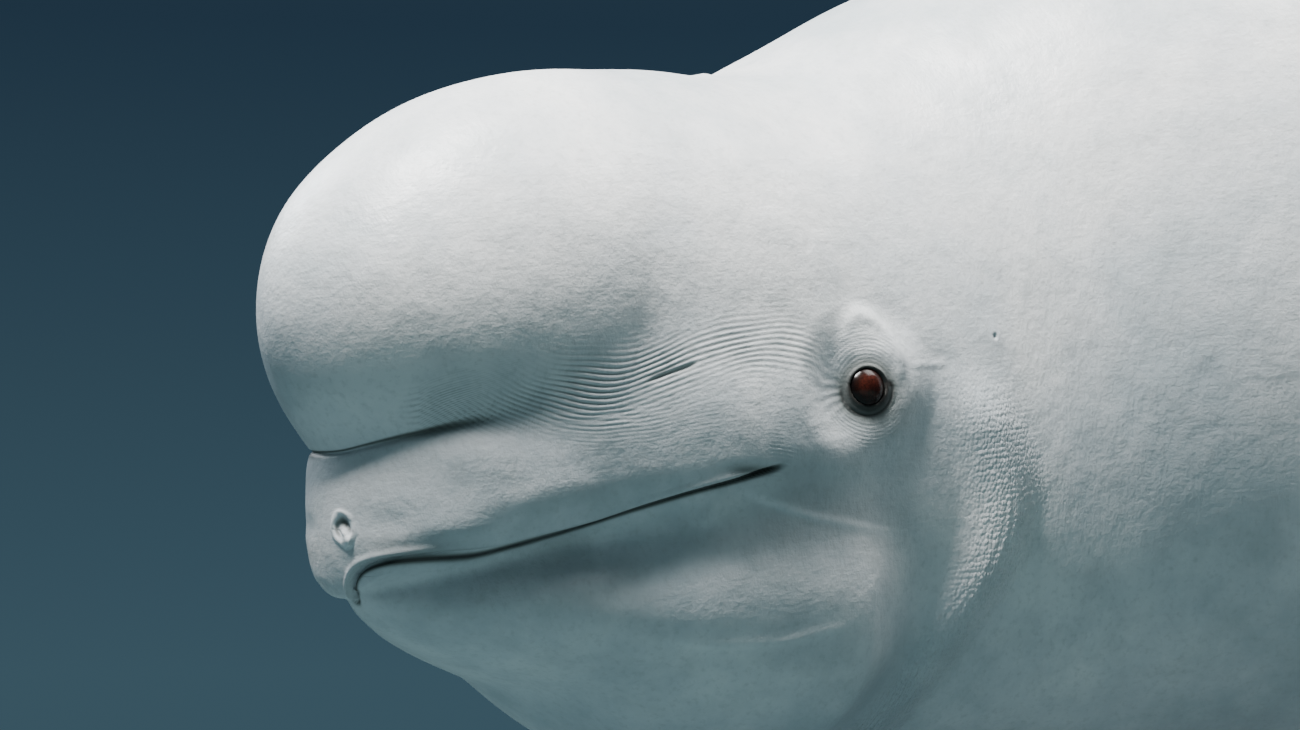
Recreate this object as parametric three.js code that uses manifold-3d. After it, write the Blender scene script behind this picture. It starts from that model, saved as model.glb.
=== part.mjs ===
// A beluga whale at life size, held on a plain display stand by two short rods.
import * as THREE from "three";
import Module from "manifold-3d";
import { mergeVertices } from "three/addons/utils/BufferGeometryUtils.js";

const wasm = await Module();
wasm.setup();

// Driving dimensions, in millimetres and degrees.
// The body is first drawn straight: x runs tailward from the beak, y to the animal's right, z up.
const BODY_LENGTH = 4000;
const STOCK_END = 3960;
const GAP = 0.3;
const SEGMENTS = 54;
const CAP_RINGS = 20;
const BEAK_RINGS = 9;
const HEAD_RING_STEP = 19;
const HEAD_RINGS_END = 560;
const TRUNK_RINGS = 24;

// Heart of the head: the surface of the face is found along rays that leave this point.
const HEART = new THREE.Vector3(250, 0, -45);
const HEART_TILT = 14;
const CREASE_ANGLE = 12.4;
const CREASE_SPREAD = 29.6;
const CREASE_REACH = 69;
const SIDE_ANGLE = 46;

// Melon: one ellipsoid from the brow to the nape.
const MELON = { x: 248, z: 37, length: 263, width: 150, height: 170 };
const NAPE_BLEND = 60;

// Trunk stations: distance from the beak, top, bottom and half width.
const TRUNK = [
  [250, 124, -262, 130],
  [330, 174, -294, 174],
  [420, 212, -314, 207],
  [550, 272, -334, 252],
  [750, 345, -362, 312],
  [1050, 394, -394, 362],
  [1500, 406, -412, 387],
  [1950, 380, -390, 370],
  [2400, 314, -320, 304],
  [2850, 224, -224, 207],
  [3250, 144, -134, 120],
  [3600, 84, -70, 62],
  [3850, 44, -36, 38],
  [3960, 14, -12, 14],
];
const TRUNK_AXIS = [[250, -60], [550, -40], [1500, -8], [2400, -3], [3250, 4], [3960, 1]];
const TRUNK_ROUNDNESS = 2.15;
const THROAT_START = 140;
const THROAT_FULL = 340;

// Jaw stations behind each tip: distance, half height above, half height below, half width, middle.
const UPPER_TIP = 14;
const UPPER_JAW = [
  [0, 0, 0, 0, -108],
  [8, 46, 40, 35, -106],
  [24, 76, 46, 62, -103],
  [50, 96, 50, 89, -101],
  [90, 98, 51, 113, -97],
  [140, 90, 48, 129, -88],
  [190, 82, 43, 141, -78],
  [250, 78, 39, 152, -69],
  [320, 80, 44, 163, -62],
];
const LOWER_TIP = 26;
const LOWER_JAW = [
  [0, 0, 0, 0, -147],
  [10, 16, 12, 20, -149],
  [30, 27, 21, 41, -152],
  [58, 36, 31, 69, -156],
  [98, 46, 45, 98, -161],
  [158, 60, 62, 124, -170],
  [228, 76, 83, 147, -182],
  [308, 86, 101, 172, -192],
];
const UPPER_ROUNDNESS = 2.5;
const LIP_ROUNDNESS = 2.4;
const LOWER_ROUNDNESS = 2.2;
const JAW_SINK_START = 320;
const JAW_SINK_END = 560;
const JAW_SINK = 260;
const LIP_LEAN = 0.15;
const LEAN_START = 60;
const LEAN_END = 240;

// Mouth line: its height along the jaw, its dip at the tip and the depth of the lip groove.
const MOUTH_LINE = [[0, -127], [35, -132], [74, -136], [103, -132], [143, -122], [174, -110], [210, -97], [262, -83]];
const MOUTH_DIP = 22;
const MOUTH_DIP_WIDTH = 10;
const MOUTH_DIP_SIDE = 6;
const MOUTH_CORNER = 262;
const MOUTH_FRONT = 60;
const LIP_GROOVE = 5;
const LIP_GROOVE_DEPTH = 8;
const JAW_REAR = [[268, -86], [273, -98], [302, -345]];
const CREASE_LINE = [[-80, -45], [20, -45], [90, -44], [160, -36], [225, -10]];
const CREASE_DROOP = 6;
const MELON_REAR = [[262, 70], [310, 250]];

// Rolled fold of the neck: its line down the side, its width and its height.
const NECK_FOLD = [[-330, 380], [-245, 403], [-140, 457], [-40, 432]];
const NECK_FOLD_HEIGHT = 12;
const NECK_FOLD_HALF = 38;
const NECK_FOLD_TOP = -15;

// Low ridge on the back, in place of a dorsal fin.
const RIDGE_START = 1850;
const RIDGE_END = 2560;
const RIDGE_HEIGHT = 26;
const RIDGE_HALF = 30;

// Eye, lids and blowhole.
const EYE_X = 337;
const EYE_Z = -35;
const EYEBALL_RADIUS = 17;
const EYE_DEPTH = 13;
const LID_RADIUS = 15;
const LID_THICKNESS = 4;
const BLOWHOLE_X = 340;
const BLOWHOLE_RADIUS = 30;
const BLOWHOLE_SLIT = 6;
const BLOWHOLE_DEPTH = 14;

// Cuts between the parts of the body.
const NECK_START = 512;
const TORSO_START = 640;
const TORSO_MIDDLE = 1900;
const STOCK_START = 3000;

// Pose: the head turned to its left, the front tipped nose down, the tail sinking a little.
const HEAD_TURN = 20;
const TURN_START = 360;
const TURN_END = 640;
const FRONT_PITCH = 6;
const PITCH_FADE_START = 1000;
const PITCH_FADE_END = 2400;
const TAIL_PITCH = -4;
const TAIL_START = 2400;
const TAIL_END = 3800;
const PIVOT = 1500;

// Stand: a flat base with two short rods up to the belly.
const AXIS_HEIGHT = 790;
const BASE = { length: 2100, width: 900, height: 32, corner: 60, middle: 1700 };
const ROD_RADIUS = 32;
const ROD_FOOT = { radius: 95, height: 16 };
const ROD_PLACES = { front: 1080, rear: 2330 };

const radians = THREE.MathUtils.degToRad;
const smooth = (a, b, x) => THREE.MathUtils.smoothstep(x, a, b);

// Smooth curve through points [x, y], held level beyond its ends.
function curve(points) {
  const last = points.length - 1;
  const slopes = points.map((point, i) => {
    const before = points[Math.max(i - 1, 0)];
    const after = points[Math.min(i + 1, last)];
    return (after[1] - before[1]) / (after[0] - before[0]);
  });
  return (x) => {
    const u = THREE.MathUtils.clamp(x, points[0][0], points[last][0]);
    let i = 0;
    while (i < last - 1 && u > points[i + 1][0]) i += 1;
    const width = points[i + 1][0] - points[i][0];
    const t = (u - points[i][0]) / width;
    const rise = t * t * (3 - 2 * t);
    const leave = slopes[i] * t * (1 - t) ** 2;
    const arrive = slopes[i + 1] * t * t * (1 - t);
    return points[i][1] * (1 - rise) + points[i + 1][1] * rise + width * (leave - arrive);
  };
}

function smoothMin(a, b, blend) {
  const t = THREE.MathUtils.clamp(0.5 + (0.5 * (b - a)) / blend, 0, 1);
  return b + (a - b) * t - blend * t * (1 - t);
}

// Distance to an oval section, from its middle, with its own half height above and below.
function ovalDistance(y, dz, up, down, half, roundness) {
  const height = dz > 0 ? up : down;
  const size = (Math.abs(y) / half) ** roundness + (Math.abs(dz) / height) ** roundness;
  const scale = size ** (1 / roundness);
  if (scale < 1e-6) return -Math.min(half, height);
  return Math.hypot(y, dz) * (1 - 1 / scale);
}

function melonDistance(x, y, z) {
  const u = x - MELON.x;
  const w = z - MELON.z;
  const scale = Math.hypot(u / MELON.length, y / MELON.width, w / MELON.height);
  const slope = Math.hypot(u / MELON.length ** 2, y / MELON.width ** 2, w / MELON.height ** 2);
  return (scale * (scale - 1)) / Math.max(slope, 1e-9);
}

const trunkTop = curve(TRUNK.map((row) => [row[0], row[1]]));
const trunkBottom = curve(TRUNK.map((row) => [row[0], row[2]]));
const trunkHalf = curve(TRUNK.map((row) => [row[0], row[3]]));
const trunkAxis = curve(TRUNK_AXIS);

function trunkDistance(x, y, z) {
  if (x < THROAT_START) return Math.hypot(x - THROAT_START, y, z - trunkAxis(x));
  const station = Math.max(x, THROAT_FULL);
  const back = Math.min((x - THROAT_START) / (THROAT_FULL - THROAT_START), 1);
  const swell = Math.max(Math.sqrt(1 - (1 - back) ** 2), 0.02);
  const middle = trunkAxis(station);
  const up = (trunkTop(station) - middle) * swell;
  const down = (middle - trunkBottom(station)) * swell;
  return ovalDistance(y, z - middle, up, down, trunkHalf(station) * swell, TRUNK_ROUNDNESS);
}

// One jaw: an oval loft that grows from its tip as a round nose does.
function jaw(tip, rows, upperRoundness, lowerRoundness) {
  const column = (k) => curve(rows.map((row) => [Math.sqrt(row[0]), row[k]]));
  const [above, below, half, middle] = [1, 2, 3, 4].map(column);
  return (x, y, z) => {
    const t = Math.sqrt(Math.max(x - tip, 0));
    const dz = z - middle(t);
    if (x < tip) return Math.hypot(x - tip, y, dz);
    const size = [above(t), below(t), half(t)].map((value) => Math.max(value, 0.5));
    return ovalDistance(y, dz, ...size, dz > 0 ? upperRoundness : lowerRoundness);
  };
}
const upperJaw = jaw(UPPER_TIP, UPPER_JAW, UPPER_ROUNDNESS, LIP_ROUNDNESS);
const lowerJaw = jaw(LOWER_TIP, LOWER_JAW, LOWER_ROUNDNESS, LOWER_ROUNDNESS);

// The upper lip leans: its right side hangs a little lower than its left.
function lean(x, y) {
  return LIP_LEAN * y * (1 - smooth(LEAN_START, LEAN_END, x));
}

// Signed distance to the smooth body, negative inside.
function bodyDistance(x, y, z) {
  const head = smoothMin(melonDistance(x, y, z), trunkDistance(x, y, z), NAPE_BLEND);
  const upper = upperJaw(x, y, z + lean(x, y));
  const jaws = smoothMin(upper, lowerJaw(x, y, z), 5 + 25 * smooth(110, 240, x));
  const sink = JAW_SINK * smooth(JAW_SINK_START, JAW_SINK_END, x);
  return smoothMin(head, jaws + sink, 5 + 65 * smooth(60, 230, x));
}

// Distance along a ray to the outermost crossing of the surface.
function reach(origin, direction) {
  const far = 700;
  const stride = 10;
  const inside = (t) => bodyDistance(
    origin.x + direction.x * t,
    origin.y + direction.y * t,
    origin.z + direction.z * t,
  ) < 0;
  let low = far;
  while (low > 0 && !inside(low)) low -= stride;
  let high = low + stride;
  for (let i = 0; i < 22; i += 1) {
    const middle = (low + high) / 2;
    if (inside(middle)) low = middle;
    else high = middle;
  }
  return (low + high) / 2;
}

// Ray direction from the heart of the head, psi from the beak's axis and phi round it from above.
function faceDirection(psi, phi) {
  const tilt = radians(HEART_TILT) * Math.cos(psi);
  const forward = new THREE.Vector3(-Math.cos(tilt), 0, -Math.sin(tilt));
  const upward = new THREE.Vector3(-Math.sin(tilt), 0, Math.cos(tilt));
  const sideways = new THREE.Vector3(0, 1, 0);
  return forward.multiplyScalar(Math.cos(psi))
    .addScaledVector(upward, Math.sin(psi) * Math.cos(phi))
    .addScaledVector(sideways, Math.sin(psi) * Math.sin(phi));
}

// Angle of the furrow between beak and melon, where a ring of points is laid.
function furrowAngle(phi) {
  const side = Math.abs(THREE.MathUtils.radToDeg(Math.atan2(Math.sin(phi), Math.cos(phi))));
  return radians(Math.min(CREASE_ANGLE + CREASE_SPREAD * (side / CREASE_REACH) ** 2.6, SIDE_ANGLE));
}

const neckFoldLine = curve(NECK_FOLD);

// What stands proud of the smooth body: the neck fold and the ridge of the back.
function relief(x, y, z) {
  const across = Math.min(Math.abs(x - neckFoldLine(z)) / NECK_FOLD_HALF, 1);
  const down = 1 - smooth(NECK_FOLD_TOP - 60, NECK_FOLD_TOP, z);
  const fold = NECK_FOLD_HEIGHT * Math.cos((across * Math.PI) / 2) ** 2 * down;
  if (z < 0 || x < RIDGE_START || x > RIDGE_END) return fold;
  const along = Math.sin((Math.PI * (x - RIDGE_START)) / (RIDGE_END - RIDGE_START));
  return fold + RIDGE_HEIGHT * along * Math.exp(-((y / RIDGE_HALF) ** 2));
}

function bodyStations() {
  const stations = [];
  for (let x = HEART.x + HEAD_RING_STEP; x < HEAD_RINGS_END; x += HEAD_RING_STEP) stations.push(x);
  for (let i = 0; i <= TRUNK_RINGS; i += 1) {
    const t = i / TRUNK_RINGS;
    stations.push(HEAD_RINGS_END + (STOCK_END - HEAD_RINGS_END) * (0.5 * t + 0.5 * t * t) ** 1.05);
  }
  return stations;
}

// Rings of rays over the whole body, from the beak to the end of the tail stock.
function bodyRays() {
  const turns = Array.from({ length: SEGMENTS }, (_, j) => (-2 * Math.PI * j) / SEGMENTS);
  const rings = [];
  for (let i = 1; i <= CAP_RINGS; i += 1) {
    rings.push(turns.map((phi) => {
      const furrow = furrowAngle(phi);
      const beyond = (i - BEAK_RINGS) / (CAP_RINGS - BEAK_RINGS);
      const psi = i <= BEAK_RINGS
        ? (furrow * i) / BEAK_RINGS
        : furrow + (Math.PI / 2 - furrow) * beyond;
      return [HEART, faceDirection(psi, phi)];
    }));
  }
  for (const x of bodyStations()) {
    const origin = new THREE.Vector3(x, 0, HEART.z * (1 - smooth(HEART.x, 900, x)));
    rings.push(turns.map((phi) => [origin, new THREE.Vector3(0, Math.sin(phi), Math.cos(phi))]));
  }
  return rings;
}

// Closed skin over rings of points, each ring the same length, with a point at either end.
function skinOver(rings, first, last) {
  const count = rings[0].length;
  const points = [first, ...rings.flat(), last];
  const index = [];
  const at = (i, j) => 1 + i * count + (j % count);
  for (let j = 0; j < count; j += 1) {
    index.push(0, at(0, j + 1), at(0, j));
    for (let i = 0; i < rings.length - 1; i += 1) {
      index.push(at(i, j), at(i, j + 1), at(i + 1, j + 1));
      index.push(at(i, j), at(i + 1, j + 1), at(i + 1, j));
    }
    index.push(points.length - 1, at(rings.length - 1, j), at(rings.length - 1, j + 1));
  }
  const geometry = new THREE.BufferGeometry().setFromPoints(points);
  geometry.setIndex(index);
  return geometry;
}

const RAYS = bodyRays();
const REACHES = RAYS.map((ring) => ring.map(([origin, direction]) => {
  const distance = reach(origin, direction);
  const foot = origin.clone().addScaledVector(direction, distance);
  return distance + relief(foot.x, foot.y, foot.z);
}));

// The body's surface, or one that stands off it by a small distance.
function bodyGeometry(offset) {
  const rings = RAYS.map((ring, i) => ring.map(([origin, direction], j) => (
    origin.clone().addScaledVector(direction, REACHES[i][j] + offset)
  )));
  const nose = faceDirection(0, 0);
  const first = HEART.clone().addScaledVector(nose, reach(HEART, nose) + offset);
  return skinOver(rings, first, new THREE.Vector3(STOCK_END + 4 + offset, 0, 1));
}

function solidOf(geometry) {
  const bare = new THREE.BufferGeometry();
  bare.setAttribute("position", geometry.getAttribute("position").clone());
  if (geometry.index) bare.setIndex(geometry.index.clone());
  const merged = mergeVertices(bare, 1e-3);
  return new wasm.Manifold(new wasm.Mesh({
    numProp: 3,
    vertProperties: new Float32Array(merged.getAttribute("position").array),
    triVerts: new Uint32Array(merged.index.array),
  }));
}

function geometryOf(solid) {
  const mesh = solid.getMesh();
  const geometry = new THREE.BufferGeometry();
  geometry.setAttribute("position", new THREE.BufferAttribute(mesh.vertProperties, 3));
  geometry.setIndex(new THREE.BufferAttribute(mesh.triVerts, 1));
  return geometry;
}

function pieces(solid) {
  return solid.decompose().sort((a, b) => b.volume() - a.volume());
}

const largest = (solid) => pieces(solid)[0];

// The two sides of a cut, the one with the lower middle along the axis first.
function split(solid, cutter, axis) {
  const middle = (piece) => {
    const box = piece.boundingBox();
    return box.min[axis] + box.max[axis];
  };
  return pieces(solid.subtract(cutter)).slice(0, 2).sort((a, b) => middle(a) - middle(b));
}

// Thin closed sheet: a path in the x, z plane, carried across the body by shares of its width.
function sheet(path, width, shares, droop, thickness) {
  const sides = [-1, 1].map((side) => path.map(([x, z], i) => shares.map((share) => {
    const before = path[Math.max(i - 1, 0)];
    const after = path[Math.min(i + 1, path.length - 1)];
    const tangent = new THREE.Vector2(after[0] - before[0], after[1] - before[1]).normalize();
    const y = share * width(x);
    const height = z - droop(x, y);
    const half = (side * thickness(x, y, height)) / 2;
    return new THREE.Vector3(x - tangent.y * half, y, height + tangent.x * half);
  })));
  const columns = shares.length;
  const count = path.length * columns;
  const index = [];
  const quad = (a, b, c, d) => index.push(a, b, c, a, c, d);
  const at = (side, i, j) => side * count + i * columns + j;
  const lastRow = path.length - 1;
  const lastColumn = columns - 1;
  for (let i = 0; i < lastRow; i += 1) {
    for (let j = 0; j < lastColumn; j += 1) {
      quad(at(0, i, j), at(0, i, j + 1), at(0, i + 1, j + 1), at(0, i + 1, j));
      quad(at(1, i, j), at(1, i + 1, j), at(1, i + 1, j + 1), at(1, i, j + 1));
    }
    quad(at(0, i, 0), at(0, i + 1, 0), at(1, i + 1, 0), at(1, i, 0));
    quad(at(0, i, lastColumn), at(1, i, lastColumn), at(1, i + 1, lastColumn), at(0, i + 1, lastColumn));
  }
  for (let j = 0; j < lastColumn; j += 1) {
    quad(at(0, 0, j), at(1, 0, j), at(1, 0, j + 1), at(0, 0, j + 1));
    quad(at(0, lastRow, j), at(0, lastRow, j + 1), at(1, lastRow, j + 1), at(1, lastRow, j));
  }
  const geometry = new THREE.BufferGeometry().setFromPoints(sides.flat(2));
  geometry.setIndex(index);
  return solidOf(geometry);
}

function slab(x) {
  const geometry = new THREE.BoxGeometry(GAP, 2000, 2000);
  geometry.translate(x, 0, 0);
  return solidOf(geometry);
}

// Cut along the mouth line, open at the lips, then down behind the jaw.
function mouthSheet() {
  const height = curve(MOUTH_LINE);
  const stations = [-30, -4, 8, 16, 28, 44, 66, 92, 122, 154, 186, 218, 242, MOUTH_CORNER];
  const path = [...stations.map((x) => [x, height(x)]), ...JAW_REAR];
  const half = [0.15, 0.3, 0.6, 0.88, 0.96, 1.03, 1.5];
  const shares = [...half.map((share) => -share).reverse(), 0, ...half];
  const lips = (x) => {
    const across = new THREE.Vector3(0, 1, 0);
    return x > 20 ? reach(new THREE.Vector3(x, 0, height(x)), across) : MOUTH_FRONT;
  };
  const dip = (x, y) => {
    const aside = Math.hypot(y - MOUTH_DIP_SIDE, 2) - 2;
    return lean(x, y) + MOUTH_DIP * Math.exp(-aside / MOUTH_DIP_WIDTH) * (1 - smooth(20, 90, x));
  };
  const groove = (x, y, z) => {
    const open = smooth(-LIP_GROOVE_DEPTH, 1, bodyDistance(x, y, z));
    return GAP + LIP_GROOVE * open * (1 - smooth(MOUTH_CORNER - 40, MOUTH_CORNER, x));
  };
  return sheet(path, lips, shares, dip, groove);
}

// Cut along the furrow under the melon, then up behind it.
function melonSheet() {
  const height = curve(CREASE_LINE);
  const stations = Array.from({ length: 9 }, (_, i) => -75 + 37.5 * i);
  const path = [...stations.map((x) => [x, height(x)]), ...MELON_REAR];
  const shares = [-1, -0.6, -0.4, -0.25, -0.12, 0, 0.12, 0.25, 0.4, 0.6, 1];
  const droop = (x, y) => lean(x, y) + CREASE_DROOP * Math.exp(-((y / 40) ** 2)) * (1 - smooth(40, 160, x));
  return sheet(path, () => 230, shares, droop, () => GAP);
}

// Cut between the upper jaw and the rest of the head.
function cheekSheet() {
  const path = [[MOUTH_CORNER - 6, -130], [MOUTH_CORNER, -80], [215, 60]];
  return sheet(path, () => 300, [-1, 1], () => 0, () => GAP);
}

// Frame on the skin at the eye of one side, with its outward direction.
function eyeFrame(side) {
  const origin = new THREE.Vector3(EYE_X, 0, EYE_Z);
  const place = origin.clone().add(new THREE.Vector3(0, side * reach(origin, new THREE.Vector3(0, side, 0)), 0));
  const slope = (axis) => {
    const a = place.clone();
    const b = place.clone();
    a[axis] -= 2;
    b[axis] += 2;
    return bodyDistance(b.x, b.y, b.z) - bodyDistance(a.x, a.y, a.z);
  };
  const outward = new THREE.Vector3(slope("x"), slope("y"), slope("z")).normalize();
  return { place, outward };
}

function eyeballGeometry(side, radius) {
  const { place, outward } = eyeFrame(side);
  const geometry = new THREE.SphereGeometry(radius, 18, 10);
  const centre = place.clone().addScaledVector(outward, -EYE_DEPTH);
  return geometry.translate(centre.x, centre.y, centre.z);
}

function lidGeometry(side) {
  const { place, outward } = eyeFrame(side);
  const geometry = new THREE.TorusGeometry(LID_RADIUS, LID_THICKNESS, 6, 20);
  const turn = new THREE.Quaternion().setFromUnitVectors(new THREE.Vector3(0, 0, 1), outward);
  const centre = place.clone().addScaledVector(outward, -1);
  return geometry.applyQuaternion(turn).translate(centre.x, centre.y, centre.z);
}

// Crescent slit of the blowhole, its horns pointing forward.
function blowholeGeometry() {
  const shape = new THREE.Shape();
  const spread = radians(58);
  shape.absarc(0, 0, BLOWHOLE_RADIUS, -spread, spread, false);
  shape.absarc(-BLOWHOLE_SLIT, 0, BLOWHOLE_RADIUS - 1, spread * 0.96, -spread * 0.96, true);
  const geometry = new THREE.ExtrudeGeometry(shape, { depth: 60, bevelEnabled: false, curveSegments: 10 });
  const top = HEART.z + reach(new THREE.Vector3(BLOWHOLE_X, 0, HEART.z), new THREE.Vector3(0, 0, 1));
  return geometry.translate(BLOWHOLE_X, 0, top - BLOWHOLE_DEPTH);
}

// A flat fin lofted from its root outward along a bent line of its own plane.
function finGeometry(fin, side) {
  const across = 9;
  const rings = [];
  const face = (u, s, sign) => {
    const chord = fin.trail(s) - fin.lead(s);
    const swell = 0.14 + 0.86 * Math.sin(Math.PI * u ** 0.62);
    const half = (fin.thickness(s) / 2) * swell;
    const out = s * fin.span;
    const point = fin.root.clone()
      .addScaledVector(fin.aft, fin.lead(s) + chord * u)
      .addScaledVector(fin.out, out)
      .addScaledVector(fin.up, fin.bend(s) + sign * half);
    return new THREE.Vector3(point.x, side * point.y, point.z);
  };
  const middle = (s) => face(0.5, s, 0);
  for (const s of fin.sections) {
    const upper = Array.from({ length: across }, (_, k) => face(k / (across - 1), s, 1));
    const lower = Array.from({ length: across }, (_, k) => face(1 - k / (across - 1), s, -1));
    rings.push([...upper, ...lower]);
  }
  if (side < 0) rings.forEach((ring) => ring.reverse());
  return skinOver(rings, middle(fin.sections[0]), middle(fin.sections.at(-1)));
}

const roundTip = (s, start) => Math.sqrt(Math.max(1 - Math.max((s - start) / (1 - start), 0) ** 2, 0));
const finSections = (count) => Array.from({ length: count + 1 }, (_, i) => 0.985 * Math.sin((Math.PI / 2) * (i / count)));

// Flipper: a broad paddle set low behind the neck, its tip curled up.
const FLIPPER = {
  root: new THREE.Vector3(740, 215, -190),
  aft: new THREE.Vector3(0.86, -0.28, -0.42).normalize(),
  out: new THREE.Vector3(0.42, 0.78, -0.46).normalize(),
  span: 560,
  sections: finSections(12),
  lead: (s) => 150 * (s - 0.15) ** 2 + 70 * (1 - roundTip(s, 0.62)),
  trail: (s) => 190 + 110 * smooth(0.1, 0.7, s) - 130 * (1 - roundTip(s, 0.62)),
  thickness: (s) => (70 - 48 * smooth(0.1, 0.9, s)) * (0.35 + 0.65 * roundTip(s, 0.6)),
  bend: (s) => 95 * smooth(0.35, 1.1, s) ** 2,
};
FLIPPER.up = new THREE.Vector3().crossVectors(FLIPPER.aft, FLIPPER.out).normalize();

// Fluke: one half of the tail fin, with a bowed trailing edge and a notch in the middle.
const FLUKE = {
  root: new THREE.Vector3(0, GAP / 2, 2),
  aft: new THREE.Vector3(1, 0, 0),
  out: new THREE.Vector3(0, 1, 0),
  up: new THREE.Vector3(0, 0, 1),
  span: 490,
  sections: finSections(13),
  lead: (s) => 3690 + 235 * s ** 1.15 + 50 * (1 - roundTip(s, 0.7)),
  trail: (s) => 3972 + 62 * Math.sin(Math.PI * Math.min(s + 0.02, 1) ** 0.75) - 40 * (1 - roundTip(s, 0.7)),
  thickness: (s) => (46 - 30 * smooth(0, 0.9, s)) * (0.4 + 0.6 * roundTip(s, 0.75)),
  bend: (s) => 18 * s * s,
};

// Frame of the bent spine at each distance from the beak, worked out by small steps.
function bentSpine() {
  const stride = 5;
  const frames = [];
  const place = new THREE.Vector3();
  for (let x = -100; x <= BODY_LENGTH + 300; x += stride) {
    const turn = radians(HEAD_TURN) * (1 - smooth(TURN_START, TURN_END, x));
    const front = FRONT_PITCH * (1 - smooth(PITCH_FADE_START, PITCH_FADE_END, x));
    const pitch = radians(front + TAIL_PITCH * smooth(TAIL_START, TAIL_END, x));
    const along = new THREE.Vector3(
      Math.cos(turn) * Math.cos(pitch),
      Math.sin(turn) * Math.cos(pitch),
      Math.sin(pitch),
    );
    const side = new THREE.Vector3(0, 0, 1).cross(along).normalize();
    const up = new THREE.Vector3().crossVectors(along, side);
    frames.push({ x, place: place.clone(), side, up });
    place.addScaledVector(along, stride);
  }
  const pivot = frames.find((frame) => frame.x >= PIVOT).place.clone();
  for (const frame of frames) {
    frame.place.sub(pivot).add(new THREE.Vector3(PIVOT - BASE.middle, 0, AXIS_HEIGHT));
  }
  return (point) => {
    const step = (point.x - frames[0].x) / stride;
    const i = THREE.MathUtils.clamp(Math.floor(step), 0, frames.length - 2);
    const blend = (key) => frames[i][key].clone().lerp(frames[i + 1][key], step - i);
    return blend("place")
      .addScaledVector(blend("side").normalize(), point.y)
      .addScaledVector(blend("up").normalize(), point.z);
  };
}
const pose = bentSpine();

// Bends a straight geometry into the pose.
function posed(geometry) {
  const position = geometry.getAttribute("position");
  const point = new THREE.Vector3();
  for (let i = 0; i < position.count; i += 1) {
    point.fromBufferAttribute(position, i).copy(pose(point));
    position.setXYZ(i, point.x, point.y, point.z);
  }
  geometry.computeVertexNormals();
  return geometry;
}

// The whole body with its lids, sockets and blowhole, then parted along its cuts.
function fleshSolids() {
  let body = solidOf(bodyGeometry(0));
  for (const side of [-1, 1]) {
    body = body.add(solidOf(lidGeometry(side)));
    body = body.subtract(solidOf(eyeballGeometry(side, EYEBALL_RADIUS + GAP)));
  }
  body = largest(body.subtract(solidOf(blowholeGeometry())));
  const [front, behind] = split(body, slab(NECK_START), 0);
  const [neck, trunk] = split(behind, slab(TORSO_START), 0);
  const [torsoFront, rear] = split(trunk, slab(TORSO_MIDDLE), 0);
  const [torsoRear, tailStock] = split(rear, slab(STOCK_START), 0);
  const [lowerJawSolid, upper] = split(front, mouthSheet(), 2);
  const [skull, melon] = split(upper, melonSheet(), 2);
  const [upperJawSolid, head] = split(skull, cheekSheet(), 0);
  return {
    melon,
    upper_jaw: upperJawSolid,
    lower_jaw: lowerJawSolid,
    head,
    neck,
    torso_front: torsoFront,
    torso_rear: torsoRear,
    tail_stock: tailStock,
  };
}

function finSolids() {
  const cleared = solidOf(bodyGeometry(GAP + 0.1));
  const solids = {};
  for (const [hand, side] of [["left", -1], ["right", 1]]) {
    solids[`flipper_${hand}`] = largest(solidOf(finGeometry(FLIPPER, side)).subtract(cleared));
    solids[`fluke_${hand}`] = largest(solidOf(finGeometry(FLUKE, side)).subtract(cleared));
  }
  return solids;
}

// Upright round bar from one height to another, above the base.
function roundBar(x, radius, low, high) {
  const points = [[0, low], [radius, low], [radius, high], [0, high]];
  const profile = points.map(([r, height]) => new THREE.Vector2(r, height));
  return new THREE.LatheGeometry(profile, 36).rotateX(Math.PI / 2).translate(x - BASE.middle, 0, 0);
}

// Rod that stands on its foot and is cut to the belly that it carries.
function rodSolid(x) {
  const rod = roundBar(x, ROD_RADIUS, BASE.height + ROD_FOOT.height, AXIS_HEIGHT);
  return largest(solidOf(rod).subtract(solidOf(posed(bodyGeometry(GAP + 0.1)))));
}

function baseGeometry() {
  const [x, y, r] = [BASE.length / 2, BASE.width / 2, BASE.corner];
  const shape = new THREE.Shape();
  shape.absarc(x - r, y - r, r, 0, Math.PI / 2, false);
  shape.absarc(-x + r, y - r, r, Math.PI / 2, Math.PI, false);
  shape.absarc(-x + r, -y + r, r, Math.PI, 1.5 * Math.PI, false);
  shape.absarc(x - r, -y + r, r, 1.5 * Math.PI, 2 * Math.PI, false);
  return new THREE.ExtrudeGeometry(shape, { depth: BASE.height, bevelEnabled: false, curveSegments: 6 });
}

const skin = new THREE.MeshStandardMaterial({ color: 0xe4e9ec, roughness: 0.5, metalness: 0 });
const eye = new THREE.MeshStandardMaterial({ color: 0x1c0d09, roughness: 0.08, metalness: 0 });
const plinth = new THREE.MeshStandardMaterial({ color: 0x8d9296, roughness: 0.6, metalness: 0 });
const steel = new THREE.MeshStandardMaterial({ color: 0xa9adb0, roughness: 0.35, metalness: 1 });

const model = new THREE.Group();

function addNode(name, geometry, material) {
  const mesh = new THREE.Mesh(geometry, material);
  mesh.name = name;
  model.add(mesh);
}

for (const [name, solid] of Object.entries({ ...fleshSolids(), ...finSolids() })) {
  addNode(name, posed(geometryOf(solid)), skin);
}
for (const [hand, side] of [["left", -1], ["right", 1]]) {
  addNode(`eye_${hand}`, posed(geometryOf(solidOf(eyeballGeometry(side, EYEBALL_RADIUS)))), eye);
}
for (const [place, x] of Object.entries(ROD_PLACES)) {
  const foot = roundBar(x, ROD_FOOT.radius, BASE.height, BASE.height + ROD_FOOT.height);
  addNode(`stand_foot_${place}`, geometryOf(solidOf(foot)), steel);
  addNode(`stand_rod_${place}`, geometryOf(rodSolid(x)), steel);
}
addNode("stand_base", baseGeometry(), plinth);

export default model;
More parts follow.
